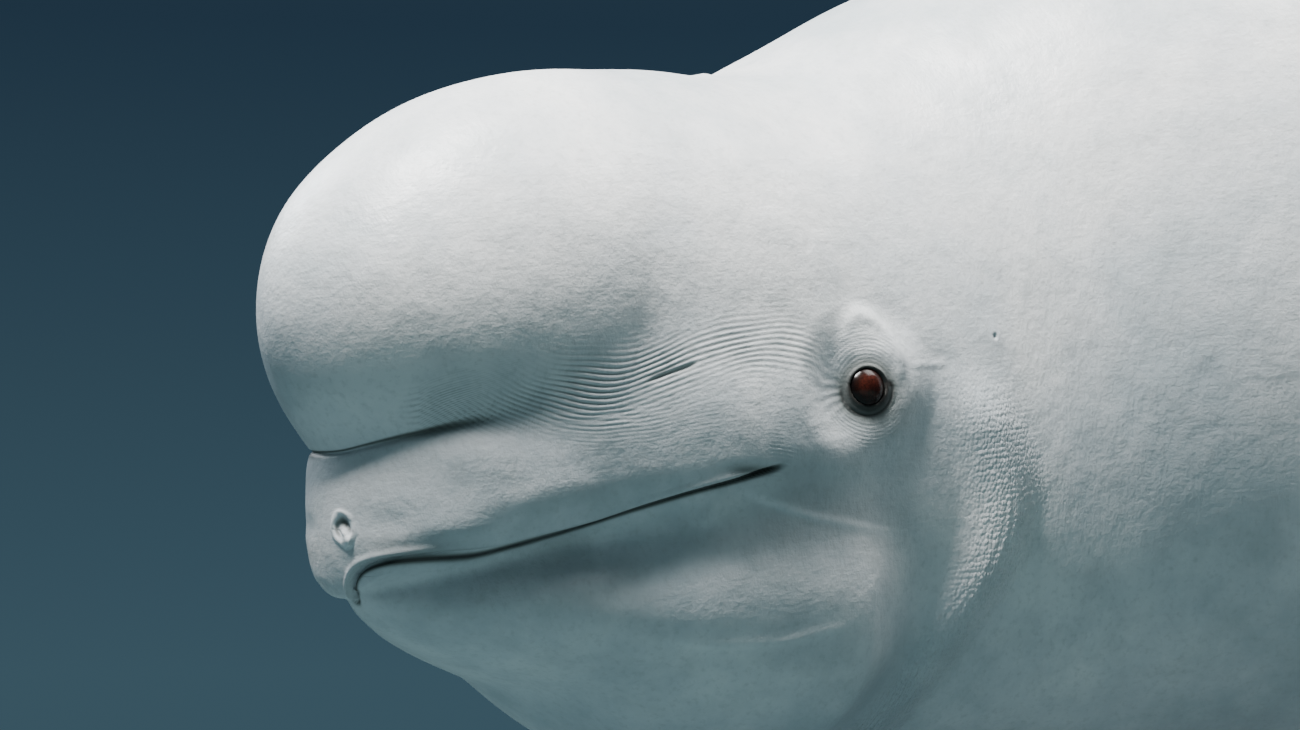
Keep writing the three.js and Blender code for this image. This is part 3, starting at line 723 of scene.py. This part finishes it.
# Close rows of small folds along the neck fold.
def neck_rows(p):
    across = p[..., 0] - neck_fold_line(p[..., 2])
    rows = np.sin(2 * math.pi * (across / 8.0 + 0.35 * ripple(p, 50, 13)))
    beads = np.sin(2 * math.pi * (p[..., 2] / 5.2 + 0.5 * ripple(p, 26, 12)))
    return beaded(p) * (0.16 * rows + 0.10 * beads)


# Healed sore on the tip of the beak.
SCAR = (2.0, 46.5)
SCAR_DEPTH = 3.0
SCAR_RIM = 1.0
SCAR_FLAP = 4.8


# Places on the sore: how far out from its middle, 1 at its rim, and on the flap of skin in it.
def scar_places(p):
    right, up = sketch(p, mirrored=False)
    across, above = right - SCAR[0], up - SCAR[1]
    out = np.hypot((across + 0.15 * above) / 6.6, above / 10.4) + 0.06 * ripple(p, 11, 21)
    flap = bell(np.hypot((across - 1.6 + 0.45 * (above + 4)) / 3.3, (above + 3.5) / 5.6), 1)
    return np.where(p[..., 0] < 90, out, 9.0), flap


# A crater with a raised rim, and the flap standing in it.
def scar_relief(p):
    out, flap = scar_places(p)
    crater = -SCAR_DEPTH * (1 - smooth(0.45, 0.95, out))
    return SCAR_RIM * bell(out - 1.02, 0.17) + crater + SCAR_FLAP * flap * (out < 1.1)


# Broad unevenness of blubber, and soft rolls on the belly and flanks.
def soft_form(p):
    x, z = p[..., 0], p[..., 2]
    trunk = smooth(520, 900, x) * (1 - smooth(3300, 3800, x))
    rolls = 3.0 * np.sin(2 * math.pi * (x / 210 + 0.5 * ripple(p, 900, 31))) * smooth(40, -220, z)
    return trunk * (rolls + 2.0 * ripple(p, 420, 32)) + 0.6 * ripple(p, 120, 33)


# Blowhole: an arched slit on top of the head with its horns pointing forward. Its angle runs
# round the arch from the rear, and far is the distance outside the arch.
def round_blowhole(p):
    x, y = p[..., 0], p[..., 1]
    angle = np.abs(np.arctan2(y, x - BLOWHOLE_X))
    far = np.hypot(x - BLOWHOLE_X, y) - BLOWHOLE_RADIUS
    return angle, far


# How deep a place lies in the blowhole's slit, from 0 to 1, which also sets the shade painted in it.
def blowhole_depth(p):
    angle, far = round_blowhole(p)
    return (p[..., 2] > 100) * bell(far, 2.0) * (1 - smooth(0.9, 1.1, angle))


def blowhole_relief(p):
    angle, far = round_blowhole(p)
    rim = BLOWHOLE_RIM * bell(far - 6, 7) * (1 - smooth(0.9, 1.4, angle))
    return (p[..., 2] > 100) * rim - BLOWHOLE_DEPTH * blowhole_depth(p)


# How far the finished skin stands out from the smooth body.
def all_relief(p):
    right, up = sketch(p)
    relief = main_relief(p) + lip_relief(p) - CREASE_DEPTH * crease_depth(p)
    relief += flow_wrinkles(p, right, up) + lip_wrinkles(p, right, up) + lip_cushions(p, right, up)
    relief += eye_relief(p) + ear_relief(p, right, up) + small_folds(p, right, up)
    relief += neck_rows(p) + scar_relief(p)
    return relief + soft_form(p) + blowhole_relief(p)


# Shade and light painted on the skin, 0.5 plain: shade in folds and hollows, light on crests.
def painted_shading(p):
    right, up = sketch(p)
    rear, above = round_eye(p)
    r = np.hypot(rear, above)
    face = 1 - smooth(440, 600, p[..., 0])
    # Painted shade in the groove of the mouth, in the crease under the melon and in the blowhole.
    dark = 0.5 * mouth_depth(p) + 0.42 * crease_depth(p) + 0.45 * blowhole_depth(p)
    # Painted shade round the eye: in the hollow below it, round its rim, on the wall of its socket,
    # in its rear corner and in the fold under the lower lid.
    dark += face * 0.26 * spot(rear, above, (2, -12), (28, 21))
    dark += face * 0.26 * bell(np.maximum(r - EYE_OPENING - 2, 0), 7)
    dark += face * 0.40 * (1 - smooth(EYE_OPENING + 0.5, EYE_OPENING + 3, r))
    dark += face * 0.30 * spot(rear, above, (15, 0.5), (3.5, 1.6))
    dark += face * 0.14 * bell(r - 18.5 + 1.5 * above / np.maximum(r, 1), 1.2) * (above < 0)
    # Painted shade in the pit at the mouth corner.
    dark += face * 0.20 * spot(right, up, CORNER_PIT, (14, 3.5))
    # Painted shade on the upper lip beside the sore.
    dark += face * 0.12 * spot(right, up, (40, 34), (34, 10))
    # Painted shade in the valleys of the fine wrinkles and their furrow.
    dark += 0.45 * np.clip(-flow_wrinkles(p, right, up), 0, 0.4)
    dark += face * 0.08 * spot(right, up, (300, 60), (60, 40))
    # Painted shade in the sore's crater, and painted light on its raised rim and on the flap.
    out, flap = scar_places(p)
    dark += 0.44 * (1 - smooth(0.5, 0.95, out)) * (1 - flap)
    pale = 0.3 * bell(out - 1.05, 0.18) + 0.5 * flap * (out < 1.1)
    # Painted highlights along the crests of the cheek and throat folds.
    pale += face * (fold(right, up, CHEEK_FOLD, 0.12, 3.0) + fold(right, up, THROAT_FOLD, 0.12, 3.5))
    return np.clip(0.5 - dark + pale, 0, 1)


# Mesh object from points and two arrays of faces, with four corners and with three.
def make_object(name, points, quads, triangles):
    mesh = bpy.data.meshes.new(name)
    corners = np.concatenate([quads.ravel(), triangles.ravel()])
    sizes = np.concatenate([np.full(len(quads), 4), np.full(len(triangles), 3)])
    mesh.vertices.add(len(points))
    mesh.vertices.foreach_set("co", points.astype(np.float32).ravel())
    mesh.loops.add(len(corners))
    mesh.loops.foreach_set("vertex_index", corners.astype(np.int32))
    mesh.polygons.add(len(sizes))
    mesh.polygons.foreach_set("loop_start", (np.cumsum(sizes) - sizes).astype(np.int32))
    mesh.update(calc_edges=True)
    mesh.shade_smooth()
    obj = bpy.data.objects.new(name, mesh)
    bpy.context.scene.collection.objects.link(obj)
    return obj


# A closed tube through rows of points, with a single point at either end.
def tube_object(name, grid, ends):
    rows, columns = grid.shape[:2]
    i = np.arange(rows - 1)[:, None] * columns
    j = np.arange(columns)[None]
    k = (j + 1) % columns
    quads = np.stack([i + j, i + k, i + columns + k, i + columns + j], -1).reshape(-1, 4)
    j, k = j[0], k[0]
    nose = np.full(columns, rows * columns)
    last = (rows - 1) * columns
    triangles = np.concatenate([
        np.stack([nose, k, j], -1),
        np.stack([nose + 1, last + j, last + k], -1),
    ])
    points = np.concatenate([grid.reshape(-1, 3), ends])
    return make_object(name, points, quads, triangles)


# Body without its fins.
def trunk_object():
    grid = body_grid()
    grid = grid + grid_normals(grid) * all_relief(grid)[..., None]
    ends = np.stack([grid[0].mean(0), np.array([STOCK_END + 4, 0, 1])])
    return tube_object("skin", grid, ends)


# A flat fin lofted from its root outward along a bent line of its own plane.
def fin_object(name, fin, side, sections=90, across=44):
    s = 0.992 * np.sin(np.linspace(0, math.pi / 2, sections))
    u = 0.5 - 0.5 * np.cos(np.linspace(0, math.pi, across))
    chord = fin["trail"](s) - fin["lead"](s)
    swell = 0.1 + 0.9 * np.sin(math.pi * u**0.62)
    blunt = np.sqrt(np.clip(np.minimum(u, 1 - u) / 0.03, 0, 1))
    half = fin["thickness"](s)[:, None] / 2 * (swell * (0.35 + 0.65 * blunt))[None]

    def face(sign):
        aft = (fin["lead"](s)[:, None] + chord[:, None] * u[None])[..., None] * fin["aft"]
        out = (s * fin["span"])[:, None, None] * fin["out"]
        lift = (fin["bend"](s)[:, None] + sign * half)[..., None] * fin["up"]
        return fin["root"] + aft + out + lift

    rings = np.concatenate([face(1), face(-1)[:, ::-1]], 1)
    rings = rings * np.array([1, side, 1])
    if side < 0:
        rings = rings[:, ::-1]
    return tube_object(name, rings, np.stack([rings[0].mean(0), rings[-1].mean(0)]))


def unit(*values):
    return np.array(values) / np.linalg.norm(values)


# Share of a fin's size that its rounded tip leaves, from start out to 1.
def round_tip(s, start):
    return np.sqrt(np.clip(1 - np.maximum((s - start) / (1 - start), 0) ** 2, 0, 1))


# Fins: the root's middle, directions aft and out in the fin's plane, and along the span the
# places of both edges, the thickness and the bend out of the plane.
FLIPPER = {
    "root": np.array([740.0, 215.0, -190.0]),
    "aft": unit(0.86, -0.28, -0.42),
    "out": unit(0.42, 0.78, -0.46),
    "span": 560,
    "lead": lambda s: 150 * (s - 0.15) ** 2 + 70 * (1 - round_tip(s, 0.62)),
    "trail": lambda s: 190 + 110 * smooth(0.1, 0.7, s) - 130 * (1 - round_tip(s, 0.62)),
    "thickness": lambda s: (70 - 48 * smooth(0.1, 0.9, s)) * (0.35 + 0.65 * round_tip(s, 0.6)),
    "bend": lambda s: 95 * smooth(0.35, 1.1, s) ** 2,
}
FLIPPER["up"] = unit(*np.cross(FLIPPER["aft"], FLIPPER["out"]))

FLUKE = {
    "root": np.array([0.0, -6.0, 2.0]),
    "aft": unit(1, 0, 0),
    "out": unit(0, 1, 0),
    "up": unit(0, 0, 1),
    "span": 496,
    "lead": lambda s: 3690 + 235 * s**1.15 + 50 * (1 - round_tip(s, 0.7)),
    "trail": lambda s: 3972 + 62 * np.sin(math.pi * np.minimum(s + 0.02, 1) ** 0.75)
    - 40 * (1 - round_tip(s, 0.7)),
    "thickness": lambda s: (46 - 30 * smooth(0, 0.9, s)) * (0.4 + 0.6 * round_tip(s, 0.75)),
    "bend": lambda s: 18 * s * s,
}


def apply_modifiers(obj):
    bpy.context.view_layer.objects.active = obj
    for modifier in list(obj.modifiers):
        bpy.ops.object.modifier_apply(modifier=modifier.name)


def join_solids(base, others):
    for other in others:
        union = base.modifiers.new("union", "BOOLEAN")
        union.operation = "UNION"
        union.solver = "MANIFOLD"
        union.object = other
        apply_modifiers(base)
        bpy.data.objects.remove(other)


def mesh_points(mesh):
    flat = np.empty(len(mesh.vertices) * 3, np.float32)
    mesh.vertices.foreach_get("co", flat)
    return flat.reshape(-1, 3).astype(float)


# Softens the join where each fin meets the body, inside these bounds.
FLIPPER_ROOT = {"middle": 860, "half": 260, "top": -60, "inner": 150}
FLUKE_ROOT = {"start": 3640, "outer": 90}


def soften_roots(skin):
    p = mesh_points(skin.data)
    x, y, z = p[:, 0], np.abs(p[:, 1]), p[:, 2]
    d = body_distance(x, y, z)
    near_flipper = np.abs(x - FLIPPER_ROOT["middle"]) < FLIPPER_ROOT["half"]
    flipper = bell(d - 4, 24) * near_flipper * (z < FLIPPER_ROOT["top"]) * (y > FLIPPER_ROOT["inner"])
    fluke = (x > FLUKE_ROOT["start"]) * bell(d, 12) * (y < FLUKE_ROOT["outer"])
    weight = np.clip(flipper + fluke, 0, 1)
    group = skin.vertex_groups.new(name="roots")
    for index in np.nonzero(weight > 0.05)[0]:
        group.add([int(index)], float(weight[index]), "REPLACE")
    soften = skin.modifiers.new("soften", "SMOOTH")
    soften.factor = 0.5
    soften.iterations = 30
    soften.vertex_group = "roots"
    apply_modifiers(skin)


# Keeps a value or a place for each point of a mesh, for its material to read.
def keep_values(mesh, name, values):
    kind, key = ("FLOAT_VECTOR", "vector") if values.ndim == 2 else ("FLOAT", "value")
    kept = mesh.attributes.new(name, kind, "POINT")
    kept.data.foreach_set(key, values.astype(np.float32).ravel())


# Bends a finished straight mesh into the pose. Its straight places and the shade and light
# painted on it stay with it for the material.
def bend_object(obj):
    mesh = obj.data
    straight = mesh_points(mesh)
    keep_values(mesh, "straight", straight * MM)
    keep_values(mesh, "painted_shade_and_light", painted_shading(straight))
    keep_values(mesh, "beaded", beaded(straight))
    mesh.vertices.foreach_set("co", posed(straight).astype(np.float32).ravel())
    mesh.update()


# Short way to write a material's node tree. In the names of inputs, _ stands for a space.
class Paint:
    def __init__(self, name):
        self.material = bpy.data.materials.new(name)
        self.material.use_nodes = True
        self.tree = self.material.node_tree
        self.shader = self.tree.nodes["Principled BSDF"]

    def add(self, kind):
        return self.tree.nodes.new("ShaderNode" + kind)

    def put(self, socket, value):
        if isinstance(value, bpy.types.NodeSocket):
            self.tree.links.new(value, socket)
        elif isinstance(value, tuple) and len(value) == 3 and socket.type == "RGBA":
            socket.default_value = (*value, 1)
        else:
            socket.default_value = value

    def fill(self, node, **values):
        for name, value in values.items():
            self.put(node.inputs[name.replace("_", " ")], value)

    def set(self, **values):
        self.fill(self.shader, **values)

    def kept(self, name, output="Vector"):
        node = self.add("Attribute")
        node.attribute_name = name
        return node.outputs[output]

    def stretch(self, vector, scale):
        node = self.add("VectorMath")
        node.operation = "MULTIPLY"
        self.put(node.inputs[0], vector)
        self.put(node.inputs[1], scale)
        return node.outputs[0]

    def math(self, operation, a, b):
        node = self.add("Math")
        node.operation = operation
        self.put(node.inputs[0], a)
        self.put(node.inputs[1], b)
        return node.outputs[0]

    def noise(self, vector, scale, detail=4.0, roughness=0.5):
        node = self.add("TexNoise")
        self.fill(node, Vector=vector, Scale=scale, Detail=detail, Roughness=roughness)
        return node.outputs["Fac"]

    # A value's range from low to high drawn out to 0 to top, and cut off beyond.
    def spread(self, value, low, high, top):
        node = self.add("MapRange")
        self.fill(node, Value=value, From_Min=low, From_Max=high, To_Max=top)
        return node.outputs["Result"]

    # Round beads packed side by side: high in their middles and low between them.
    def cells(self, vector):
        node = self.add("TexVoronoi")
        self.fill(node, Vector=vector, Scale=1.0, Randomness=0.6)
        return self.math("SUBTRACT", 1.0, node.outputs["Distance"])

    def ramp(self, value, stops):
        node = self.add("ValToRGB")
        elements = node.color_ramp.elements
        while len(elements) < len(stops):
            elements.new(0.5)
        for element, (place, colour) in zip(elements, stops):
            element.position = place
            element.color = (*colour, 1)
        self.put(node.inputs["Fac"], value)
        return node.outputs["Color"]

    def mix(self, factor, a, b, blend="MIX"):
        node = self.add("Mix")
        node.data_type = "RGBA"
        node.blend_type = blend
        for place, value in ((0, factor), (6, a), (7, b)):
            self.put(node.inputs[place], value)
        return node.outputs[2]

    # Layers of bump, each with its height, strength and depth in metres.
    def bump(self, *layers):
        normal = None
        for height, strength, depth in layers:
            node = self.add("Bump")
            self.fill(node, Strength=strength, Distance=depth, Height=height)
            if normal:
                self.put(node.inputs["Normal"], normal)
            normal = node.outputs["Normal"]
        self.set(Normal=normal)


# White skin with faint blue-grey clouds, with shade painted into its folds and hollows and light
# painted on fold crests, with fine creases all over and beads on the neck fold.
def skin_paint():
    paint = Paint("whale_skin")
    place = paint.kept("straight")
    painted_shade_and_light = paint.kept("painted_shade_and_light", "Fac")
    neck = paint.kept("beaded", "Fac")
    clouds = paint.noise(place, 5.0, 6.0, 0.62)
    blotches = paint.noise(place, 28.0, 5.0, 0.62)
    specks = paint.noise(place, 210.0, 4.0, 0.6)
    white = paint.ramp(clouds, [
        (0.36, (0.53, 0.60, 0.64)), (0.50, (0.73, 0.77, 0.80)), (0.62, (0.87, 0.89, 0.90)),
    ])
    dulled = paint.mix(paint.spread(blotches, 0.46, 0.72, 0.45), white, (0.50, 0.55, 0.57))
    dotted = paint.mix(paint.spread(specks, 0.52, 0.80, 0.40), dulled, (0.42, 0.45, 0.45))
    # Painted shade, darker the deeper a place lies in a fold or hollow, multiplied into the colour.
    shade_painted_in_folds = paint.ramp(painted_shade_and_light, [
        (0.0, (0.05, 0.045, 0.04)), (0.25, (0.36, 0.37, 0.35)), (0.5, (1, 1, 1)),
    ])
    colour_with_painted_shade = paint.mix(1.0, dotted, shade_painted_in_folds, "MULTIPLY")
    # Painted light on fold crests and on the sore's rim and flap, added to the colour.
    painted_light_ramp = paint.ramp(painted_shade_and_light, [(0.5, (0, 0, 0)), (1.0, (0.32, 0.32, 0.31))])
    coloured = paint.mix(1.0, colour_with_painted_shade, painted_light_ramp, "ADD")
    upright = paint.noise(paint.stretch(place, (300.0, 80.0, 80.0)), 1.0, 3.0, 0.6)
    slanted = paint.noise(paint.stretch(place, (90.0, 90.0, 380.0)), 1.0, 3.0, 0.55)
    grain = paint.noise(place, 700.0, 3.0, 0.6)
    beads = paint.cells(paint.stretch(place, (380.0, 270.0, 270.0)))
    paint.set(
        Base_Color=coloured,
        Roughness=paint.math("ADD", paint.spread(blotches, 0.3, 0.7, 0.22), 0.30),
    )
    paint.bump(
        (blotches, 0.5, 0.004), (upright, 0.3, 0.0010), (slanted, 0.25, 0.0008), (grain, 0.3, 0.0004),
        (beads, paint.math("MULTIPLY", neck, 0.75), 0.0016),
    )
    return paint.material


# Very dark red-brown eye, nearly black at the edge of its opening.
def eye_paint():
    paint = Paint("whale_eye")
    opening = paint.kept("opening", "Fac")
    veins = paint.noise(paint.kept("straight"), 700.0, 4.0, 0.6)
    iris = paint.ramp(opening, [
        (0.0, (0.040, 0.009, 0.006)), (0.26, (0.060, 0.013, 0.008)), (0.40, (0.020, 0.006, 0.004)),
        (0.52, (0.005, 0.003, 0.003)),
    ])
    coloured = paint.mix(paint.spread(veins, 0.4, 0.7, 0.8), iris, (0.008, 0.004, 0.003))
    paint.set(Base_Color=coloured, Roughness=0.20, Specular_IOR_Level=0.28)
    return paint.material


# Paint or metal of one colour, faintly clouded, with a fine grain.
def plain_paint(name, colour, roughness, metallic=0.0, grain=(60.0, 60.0, 60.0)):
    paint = Paint(name)
    place = paint.add("TexCoord").outputs["Object"]
    clouds = paint.noise(place, 3.0, 5.0, 0.6)
    fine = paint.noise(paint.stretch(place, grain), 1.0, 5.0, 0.65)
    worn = tuple(0.8 * part for part in colour)
    paint.set(
        Base_Color=paint.mix(clouds, worn, colour),
        Roughness=paint.math("ADD", paint.math("MULTIPLY", fine, 0.22), roughness - 0.1),
        Metallic=metallic,
    )
    paint.bump((fine, 0.18, 0.0004))
    return paint.material


# Every piece rides on the root, which is the only body of a model without joints.
def place_piece(obj, nodes):
    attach(obj, "root")
    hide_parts(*nodes)


# The whole flesh as one skin.
def make_skin():
    skin = trunk_object()
    fins = [fin_object("fin", fin, side) for fin in (FLIPPER, FLUKE) for side in (-1, 1)]
    join_solids(skin, fins)
    soften_roots(skin)
    bend_object(skin)
    skin.data.shade_smooth()
    skin.data.materials.clear()
    skin.data.materials.append(skin_paint())
    place_piece(skin, (
        "melon", "upper_jaw", "lower_jaw", "head", "neck", "torso_front", "torso_rear",
        "tail_stock", "flipper_left", "flipper_right", "fluke_left", "fluke_right",
    ))


# Eyeball of one side: rings of points round the way it looks, which leans forward.
def make_eye(hand, side, paint):
    rings, columns = 60, 96
    polar = math.pi * np.arange(1, rings) / rings
    turn = 2 * math.pi * np.arange(columns) / columns
    gaze = unit(*(EYE_OUT - EYE_SLOPE * EYE_REAR))
    across = unit(*(EYE_REAR + EYE_SLOPE * EYE_OUT))
    outward = np.cos(polar)[:, None, None] * gaze
    around = np.cos(turn)[:, None] * across + np.sin(turn)[:, None] * EYE_UP
    grid = outward + np.sin(polar)[:, None, None] * around
    ends = np.stack([gaze, -gaze])
    middle = EYE_PLACE - EYE_DEPTH * gaze
    mirror = np.array([1, -side, 1])
    grid = (middle + EYEBALL_RADIUS * grid) * mirror
    ends = (middle + EYEBALL_RADIUS * ends) * mirror
    if side > 0:
        grid = grid[:, ::-1]
    ball = tube_object(f"eyeball_{hand}", grid, ends)
    opening = np.concatenate([np.repeat(polar, columns), [0, math.pi]]) / (math.pi / 2)
    keep_values(ball.data, "opening", opening)
    bend_object(ball)
    ball.data.materials.append(paint)
    place_piece(ball, (f"eye_{hand}",))


# Base plate: a rectangle with round corners, its rim rounded over at the top and cut in below.
# Each step of the rim has its inset and its height, in metres.
BASE = {"length": 2.1, "width": 0.9, "height": 0.032, "corner": 0.06}
BASE_RIM = [
    (0.003, 0.0), (0.0, 0.003), (0.0, 0.026), (0.0012, 0.0292), (0.0036, 0.0313), (0.007, 0.032),
]
ROUND_POINTS = 96


# Angles of the points round a full circle.
def round_angles():
    return np.linspace(0, 2 * math.pi, ROUND_POINTS + 1)[:-1]


def make_base():
    turn = round_angles() + math.pi / (2 * ROUND_POINTS)
    corner = np.sign(np.stack([np.cos(turn), np.sin(turn)], -1))
    centre = corner * (np.array([BASE["length"], BASE["width"]]) / 2 - BASE["corner"])
    way = np.stack([np.cos(turn), np.sin(turn)], -1)
    rows = []
    for inset, height in BASE_RIM:
        flat = centre + way * (BASE["corner"] - inset)
        rows.append(np.concatenate([flat, np.full((len(turn), 1), height)], -1))
    ends = np.array([[0, 0, 0], [0, 0, BASE["height"]]])
    plate = tube_object("base_plate", np.stack(rows)[:, ::-1], ends)
    plate.data.set_sharp_from_angle(angle=math.radians(50))
    plate.data.materials.append(plain_paint("base_paint", (0.105, 0.115, 0.125), 0.42))
    place_piece(plate, ("stand_base",))


# The rods and their feet are shown as they are, with smooth sides and brushed steel.
def finish_rods():
    steel = plain_paint("rod_steel", (0.55, 0.56, 0.57), 0.34, 1.0, (900.0, 900.0, 25.0))
    for part in ("stand_rod_front", "stand_rod_rear", "stand_foot_front", "stand_foot_rear"):
        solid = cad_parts[part]
        solid.data.shade_smooth()
        solid.data.set_sharp_from_angle(angle=math.radians(30))
        solid.data.materials.clear()
        solid.data.materials.append(steel)


# Camera: at the sight point that the features of the face were placed from.
SENSOR_WIDTH = 36


def make_camera():
    data = bpy.data.cameras.new("camera")
    data.sensor_width = SENSOR_WIDTH
    data.lens = FOCAL_PIXELS / PHOTO_WIDTH * data.sensor_width
    camera = bpy.data.objects.new("camera", data)
    axes = np.stack([SIGHT_RIGHT, SIGHT_UP, SIGHT_BACK], -1)
    camera.matrix_world = Matrix(axes.tolist()).to_4x4()
    camera.location = SIGHT_PLACE
    bpy.context.scene.collection.objects.link(camera)
    bpy.context.scene.camera = camera


def make_light(name, place, target, size, power, colour):
    data = bpy.data.lights.new(name, "AREA")
    data.shape = "RECTANGLE"
    data.size, data.size_y = size
    data.energy = power
    data.color = colour
    light = bpy.data.objects.new(name, data)
    light.location = place
    light.rotation_euler = (Vector(target) - Vector(place)).to_track_quat("-Z", "Y").to_euler()
    bpy.context.scene.collection.objects.link(light)


# Floor: a round sheet, wide enough to lie under the whale in every view.
FLOOR_RADIUS = 15.0


def make_floor():
    turn = round_angles()
    rim = FLOOR_RADIUS * np.stack([np.cos(turn), np.sin(turn), 0 * turn], -1)
    i = np.arange(len(turn))
    fan = np.stack([i, (i + 1) % len(turn), np.full(len(turn), len(turn))], -1)
    floor = make_object("floor", np.concatenate([rim, np.zeros((1, 3))]), np.zeros((0, 4), int), fan)
    floor.data.materials.append(plain_paint("floor_paint", (0.045, 0.085, 0.095), 0.75))


# Studio light from all round: slate blue near the horizon, paler overhead.
def make_surroundings():
    world = bpy.data.worlds.new("studio")
    world.use_nodes = True
    tree = world.node_tree
    place = tree.nodes.new("ShaderNodeTexCoord")
    parts = tree.nodes.new("ShaderNodeSeparateXYZ")
    ramp = tree.nodes.new("ShaderNodeValToRGB")
    ramp.color_ramp.elements.new(0.22)
    ramp.color_ramp.elements.new(0.55)
    colours = [(0.046, 0.092, 0.122), (0.018, 0.038, 0.062), (0.05, 0.065, 0.07), (0.08, 0.09, 0.09)]
    for element, colour in zip(ramp.color_ramp.elements, colours):
        element.color = (*colour, 1)
    tree.links.new(place.outputs["Generated"], parts.inputs[0])
    tree.links.new(parts.outputs["Z"], ramp.inputs["Fac"])
    tree.links.new(ramp.outputs["Color"], tree.nodes["Background"].inputs["Color"])
    bpy.context.scene.world = world


# Lamps: steep light on head and body, so that the lower jaw lies in shade, and weak light from
# behind and below. Each has its place, target, size, power and colour.
HEAD = (-1.45, -0.15, 0.75)
BODY = (0.6, 0, 0.8)
LIGHTS = {
    "key_light": ((-2.0, -0.45, 3.4), HEAD, (0.9, 0.9), 170, (1.0, 0.985, 0.96)),
    "beak_light": ((-2.6, -0.8, 3.2), HEAD, (0.5, 0.5), 135, (1.0, 0.99, 0.97)),
    "body_light": ((0.9, -0.5, 4.0), BODY, (3.2, 1.6), 150, (1.0, 0.99, 0.97)),
    "rim_light": ((-2.4, 1.9, 2.2), HEAD, (1.0, 1.0), 45, (0.85, 0.93, 1.0)),
    "floor_glow": ((-1.2, -1.4, 0.1), HEAD, (2.0, 0.8), 1.5, (0.62, 0.85, 0.74)),
}


def make_room():
    make_floor()
    make_surroundings()
    for name, settings in LIGHTS.items():
        make_light(name, *settings)


make_skin()
eye_material = eye_paint()
make_eye("left", -1, eye_material)
make_eye("right", 1, eye_material)
make_base()
finish_rods()
make_camera()
make_room()
